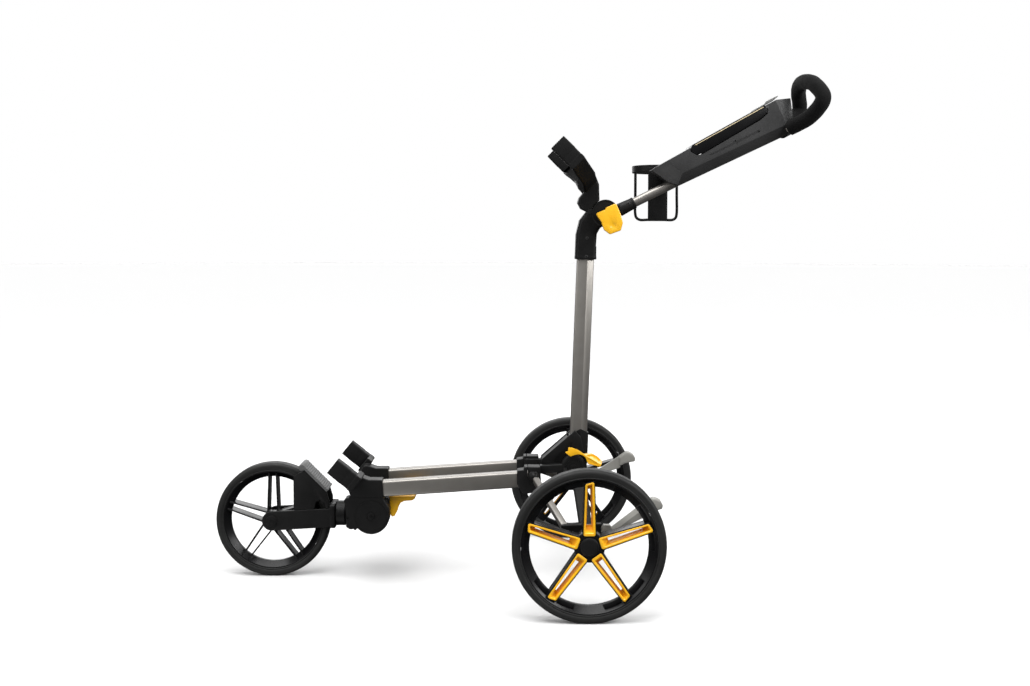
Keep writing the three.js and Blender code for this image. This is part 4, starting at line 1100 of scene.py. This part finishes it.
def handle_tube():
    profile = [(40, TUBE_RADIUS - 1.5), (40, TUBE_RADIUS - 0.4), (40.4, TUBE_RADIUS),
               (TUBE_END - 0.4, TUBE_RADIUS), (TUBE_END, TUBE_RADIUS - 0.4), (TUBE_END, TUBE_RADIUS - 1.5)]
    return turned(profile, handle_point(0), HANDLE_ALONG, ring=True)


LOOP_START, LOOP_SIDE = Vector((437, -35, 952)), Vector((470, -65, 973))
FOAM_RADIUS, CORE_RADIUS, FOAM_START = 16.0, 10.0, -4.0


def loop_point(s):
    return LOOP_START + (LOOP_SIDE - LOOP_START).normalized() * s


def loop_path(start, steps):
    half = [loop_point(start), LOOP_SIDE, Vector((488.0, -88, 1006)), Vector((478, -62, 1037)),
            Vector((471, -22, 1049))]
    other = [Vector((p.x, -p.y, p.z)) for p in reversed(half)]
    return curve_through([*half, *other], steps)


def grip_foam():
    """A foam sleeve with a slightly swollen middle, rounded at its two cuffs."""
    path = loop_path(FOAM_START, 14)
    count = len(path) - 1
    radii = []
    for i in range(count + 1):
        away = min(i, count - i)
        radii.append(FOAM_RADIUS - 0.5 * math.exp(-away / 3.0) - 0.12 * (1 + math.cos(i * 0.9)))
    return swept(path, FOAM_RADIUS, 40, edge=2.2, radii=radii)


CONSOLE_HALF_WIDTH = 40.0
CONSOLE_OUTLINE = [(161, 872), (404, 1009), (437, 1014), (441, 978), (434, 939), (206, 831), (185, 838),
                   (148, 864)]


def corner_cut(a, b, c):
    """A slab for cutting a corner off the left side. Its inner face holds the three points."""
    a, b, c = Vector(a), Vector(b), Vector(c)
    along = b - a
    out = c - (a + b) / 2
    face = [a - along * 2 - out * 0.4, b + along * 2 - out * 0.4, b + along * 2 + out * 3,
            a - along * 2 + out * 3]
    return loft([face, [p - Y_AXIS * 80 for p in face]])


def console_hull():
    """The console's outside: a long box whose lower end and bottom edges are cut away."""
    half = CONSOLE_HALF_WIDTH
    body = plate(CONSOLE_OUTLINE, -half, half)
    cheek = corner_cut((180.7, -half, 881.2), (210.9, -half, 856.3), (149, -20, 866))
    bottom = corner_cut((180, -half, 841.7), (460, -half, 973.8), (320, -half + 16, 885))
    upper = corner_cut((404.3, -half, 1005.7), (425.4, -half, 959.3), (441, -half + 9, 990))
    tools = [cheek, bottom, upper]
    return eased(cut(body, *tools, *[mirrored(tool) for tool in tools]), 1.6, 3, 14)


def console_body():
    half = CONSOLE_HALF_WIDTH
    cavity = plate([(226, 902), (392, 996), (418, 996), (417, 960), (226, 870)], -half + 3.5, half - 3.5,
                   fillet=4)
    lid_room = plate([(226.5, 910), (228, 930), (382, 1012), (388, 996.5), (387.6, 980.8), (372.2, 966.9),
                      (252.3, 895.9), (240.3, 893.6), (226.7, 901.3)], -half - 1, half + 1, fillet=3)
    rib = plate([(228, 906), (390, 998), (415, 990), (415, 962), (228, 872)], -2, 2)
    rib_room = plate([(226.5, 901.5), (226, 925), (381, 1014), (388, 992), (386.6, 980.9), (371.9, 968.1),
                      (252.3, 897), (240.4, 894.6)], -5, 5, fillet=3.5)
    socket = rod(handle_point(60), handle_point(TUBE_END + FIT), TUBE_RADIUS + FIT, edge=0.1)
    grooves = []
    for outline in ([(265, 894.5), (269.5, 893), (372, 942.6), (369, 946.4)],
                    [(311.5, 914), (315.3, 921.8), (321, 925.6), (325.5, 919)]):
        groove = plate(outline, -half - 1, -half + 2.6, fillet=1)
        grooves += [groove, mirrored(groove)]
    return cut(join(cut(console_hull(), cavity, lid_room), cut(rib, rib_room)), socket, *grooves)


LID_OUTLINE = [(228, 909), (230.5, 915), (380, 998.4), (386.3, 992), (386, 981.5), (371.5, 968.5),
               (252, 897.5), (240.5, 895.2), (228.5, 902)]
LID_TOP = Vector((230.5, 0, 915)), Vector((380, 0, 998.4))


def console_lid():
    half = CONSOLE_HALF_WIDTH - 0.4
    shell = plate(LID_OUTLINE, -half, half, fillet=4, edge=1.2)
    inside = plate([(240, 912.2), (374, 987.8), (380, 970), (250, 880)], -half + 3, half - 3)
    return cut(shell, inside)


def lid_strip():
    """The pale line of the lid's lining, just under its top edge on both sides."""
    half = CONSOLE_HALF_WIDTH - 0.4
    first, last = LID_TOP
    along = (last - first).normalized()
    down = Vector((along.z, 0, -along.x))
    start = first + along * 5 + down * 3.2
    end = last - along * 4 + down * 3.2
    strip = beam(start - Y_AXIS * half, end - Y_AXIS * half, down, 0.8, 0.7, 0.2)
    return merged(strip, mirrored(strip))


def lid_clip():
    """A sprung tab that lies on the lid and stands up as a thick wedge at its free end."""
    return plate([(361, 989.9), (387, 1004.3), (391.5, 1010.5), (403, 1016.3), (416.8, 1023.3),
                  (414.6, 1018.9), (405, 1010.4), (390, 1002.2), (386.5, 1002), (361, 988.4)],
                 -8, 8, fillet=0.8, edge=0.4)


HOLDER_Y, HOLDER_BOTTOM, HOLDER_TOP = 94.0, 762.0, 880.0
WIRE_FRONT, WIRE_BACK = -42.5, 49.0


def drink_holder():
    x = 171.0
    profile = [(0, 46.2), (0.8, 45.5), (14.2, 45.5), (15, 46.2), (15, 49.2), (14.2, 50), (0.8, 50), (0, 49.2)]
    hoop = turned(profile, (x, HOLDER_Y, HOLDER_TOP - 15), UP, 96, ring=True)
    low, high = HOLDER_BOTTOM, HOLDER_TOP - 10
    wire = [(WIRE_FRONT, high), (WIRE_FRONT, 820), (WIRE_FRONT, 776), (WIRE_FRONT + 2.5, 767),
            (WIRE_FRONT + 10, low), (-15, low), (20, low), (WIRE_BACK - 9, low), (WIRE_BACK - 2.5, 766),
            (WIRE_BACK, 774), (WIRE_BACK, 820), (WIRE_BACK, high)]
    wire = swept(curve_through([Vector((x + a, HOLDER_Y, z)) for a, z in wire], 8), 3, 20)
    panel = block(x - 21, x + 21, 43, 46.5, HOLDER_BOTTOM - 2, HOLDER_TOP - 6, edge=0.7)
    base = block(x - 10, x + 10, 44, 110, HOLDER_BOTTOM - 2, HOLDER_BOTTOM + 2, edge=0.7)
    boss = disc(HOLDER_PIVOT, 34.3, 44, 9, edge=0.8)
    return cut(join(hoop, wire, panel, base, boss), drill(HOLDER_PIVOT, SMALL_HOLE, 20, 60))


def holder_mount():
    """A small saddle on the far side of the tube, with the pin that the holder tilts on."""
    saddle = beam(handle_point(108, 0, 12.3), handle_point(134, 0, 12.3), Y_AXIS, 4, 9, 2, edge=0.8)
    room = rod(handle_point(90), handle_point(150), TUBE_RADIUS + FIT, edge=0.1)
    stem = disc(HOLDER_PIVOT, 10.6, 34, 7.5, edge=0.6)
    pin = disc(HOLDER_PIVOT, 33, 47.5, 4, edge=0.6)
    return cut(join(saddle, stem, pin), room)


def make_handle():
    surface("handle_knuckle", handle_knuckle())
    detail("sleeve_screw", screw(handle_point(53, 3.5, -11.6), -Y_AXIS, 3.8), "handle", "steel", DARK_SCREW)
    surface("handle_tube", handle_tube())
    surface("console_body", console_body(), angle=30)
    surface("console_lid", console_lid())
    detail("lid_lining", lid_strip(), "lid", "console_grey", LID_LINING)
    surface("lid_clip", lid_clip())
    foam = surface("grip_foam", grip_foam(), angle=60)
    surface("grip_core", swept(loop_path(FOAM_START - 3, 8), CORE_RADIUS, 24))
    surface("drink_holder", drink_holder())
    surface("holder_mount", holder_mount())


# ---- floor, light and camera


def make_stage():
    """A pale floor inside a white dome. The dome is only a backdrop, so it lights nothing."""
    bpy.ops.mesh.primitive_plane_add(size=70)
    floor = bpy.context.object
    floor.name = "floor"
    material, tree, bsdf = shader("pale_floor")
    dial(bsdf, Base_Color=(0.72, 0.72, 0.72, 1), Roughness=0.8, Specular_IOR_Level=0.1)
    floor.data.materials.append(material)
    floor.visible_diffuse = floor.visible_glossy = False
    bpy.ops.mesh.primitive_uv_sphere_add(segments=32, ring_count=16, radius=34)
    dome = bpy.context.object
    dome.name = "dome"
    material, tree, bsdf = shader("white_backdrop")
    glow = added(tree, "ShaderNodeEmission", Color=(1, 1, 1, 1), Strength=1)
    tree.links.new(glow.outputs["Emission"], tree.nodes["Material Output"].inputs["Surface"])
    dome.data.materials.append(material)
    dome.visible_diffuse = dome.visible_glossy = dome.visible_transmission = dome.visible_shadow = False
    world = bpy.data.worlds.new("studio")
    world.use_nodes = True
    bpy.context.scene.world = world
    shade_sky(world.node_tree)


SKY_LEVELS = ((0.0, 0.07), (0.42, 0.1), (0.52, 0.3), (0.7, 0.46), (1.0, 0.55))
SOFTBOX_DIRECTION, SOFTBOX_EDGE, SOFTBOX_LEVEL = (-0.47, -0.563, -0.68), 0.86, 1.9


def shade_sky(tree):
    """The studio's surroundings: dark below, grey at the horizon and bright overhead, with a
    softbox low on the front left."""
    link = tree.links.new
    direction = added(tree, "ShaderNodeTexCoord").outputs["Generated"]
    parts = added(tree, "ShaderNodeSeparateXYZ")
    link(direction, parts.inputs["Vector"])
    height = added(tree, "ShaderNodeMapRange", From_Min=-1)
    link(parts.outputs["Z"], height.inputs["Value"])
    shades = added(tree, "ShaderNodeValToRGB")
    elements = shades.color_ramp.elements
    while len(elements) < len(SKY_LEVELS):
        elements.new(0.5)
    for element, (position, level) in zip(elements, SKY_LEVELS):
        element.position = position
        element.color = (level, level, level, 1)
    link(height.outputs["Result"], shades.inputs["Fac"])
    towards = added(tree, "ShaderNodeVectorMath")
    towards.operation = "DOT_PRODUCT"
    towards.inputs[1].default_value = SOFTBOX_DIRECTION
    link(direction, towards.inputs[0])
    lobe = added(tree, "ShaderNodeMapRange", From_Min=SOFTBOX_EDGE, To_Max=SOFTBOX_LEVEL)
    lobe.interpolation_type = "SMOOTHSTEP"
    link(towards.outputs["Value"], lobe.inputs["Value"])
    total = added(tree, "ShaderNodeMath")
    link(shades.outputs["Color"], total.inputs[0])
    link(lobe.outputs["Result"], total.inputs[1])
    link(total.outputs["Value"], tree.nodes["Background"].inputs["Color"])


def aimed(direction):
    return Vector(direction).to_track_quat("-Z", "Y").to_euler()


def area_light(name, location, target, size, power):
    data = bpy.data.lights.new(name, "AREA")
    data.shape = "RECTANGLE"
    data.size, data.size_y = size
    data.energy = power
    lamp = linked(name, data)
    lamp.location = location
    lamp.rotation_euler = aimed(Vector(target) - Vector(location))


def make_lights():
    """A wide soft light overhead, a softbox behind for the long highlights, and two weaker fills."""
    data = bpy.data.lights.new("ceiling", "SUN")
    data.energy = 3.0
    data.angle = math.radians(50)
    linked("ceiling", data).rotation_euler = aimed((0.16, 0.22, -1))
    area_light("behind", (0, 3.2, 1.7), (0, 0, 0.5), (4, 1.8), 48)
    area_light("front_left", (-2.2, -1.8, 1.5), (0, 0, 0.4), (1.4, 1.4), 18)
    area_light("front_right", (2.6, -1.7, 2.0), (0.3, 0, 0.6), (1.6, 1.6), 85)


def make_camera():
    """The camera at the trolley's left, level with the handle's foot and looking slightly down."""
    yaw, pitch, roll = 0.007, 0.039, 0.002
    place = ORIGIN + Vector((-153.36, -2258.3, 713.4)) * MM
    data = bpy.data.cameras.new("camera")
    data.sensor_width = 36
    data.lens = 37.155
    data.shift_y = -0.05825
    camera = linked("camera", data)
    turn = Matrix.Rotation(-yaw, 4, "Z") @ Matrix.Rotation(math.pi / 2 - pitch, 4, "X")
    camera.matrix_world = Matrix.Translation(place) @ turn @ Matrix.Rotation(roll, 4, "Z")
    bpy.context.scene.camera = camera


def finish_remaining_nodes():
    """The pins, axles and other nodes whose shape is right take their procedural material."""
    for name, node in frame["nodes"].items():
        node.data.materials.clear()
        node.data.materials.append(DARK_SCREW if name in DARK_PINS else MATERIALS[SLOT_OF[name]])


make_wheels()
make_front_arm()
make_frame()
make_carriers()
make_mast()
make_handle()
finish_remaining_nodes()
make_stage()
make_lights()
make_camera()
bpy.context.scene.view_settings.view_transform = "Standard"
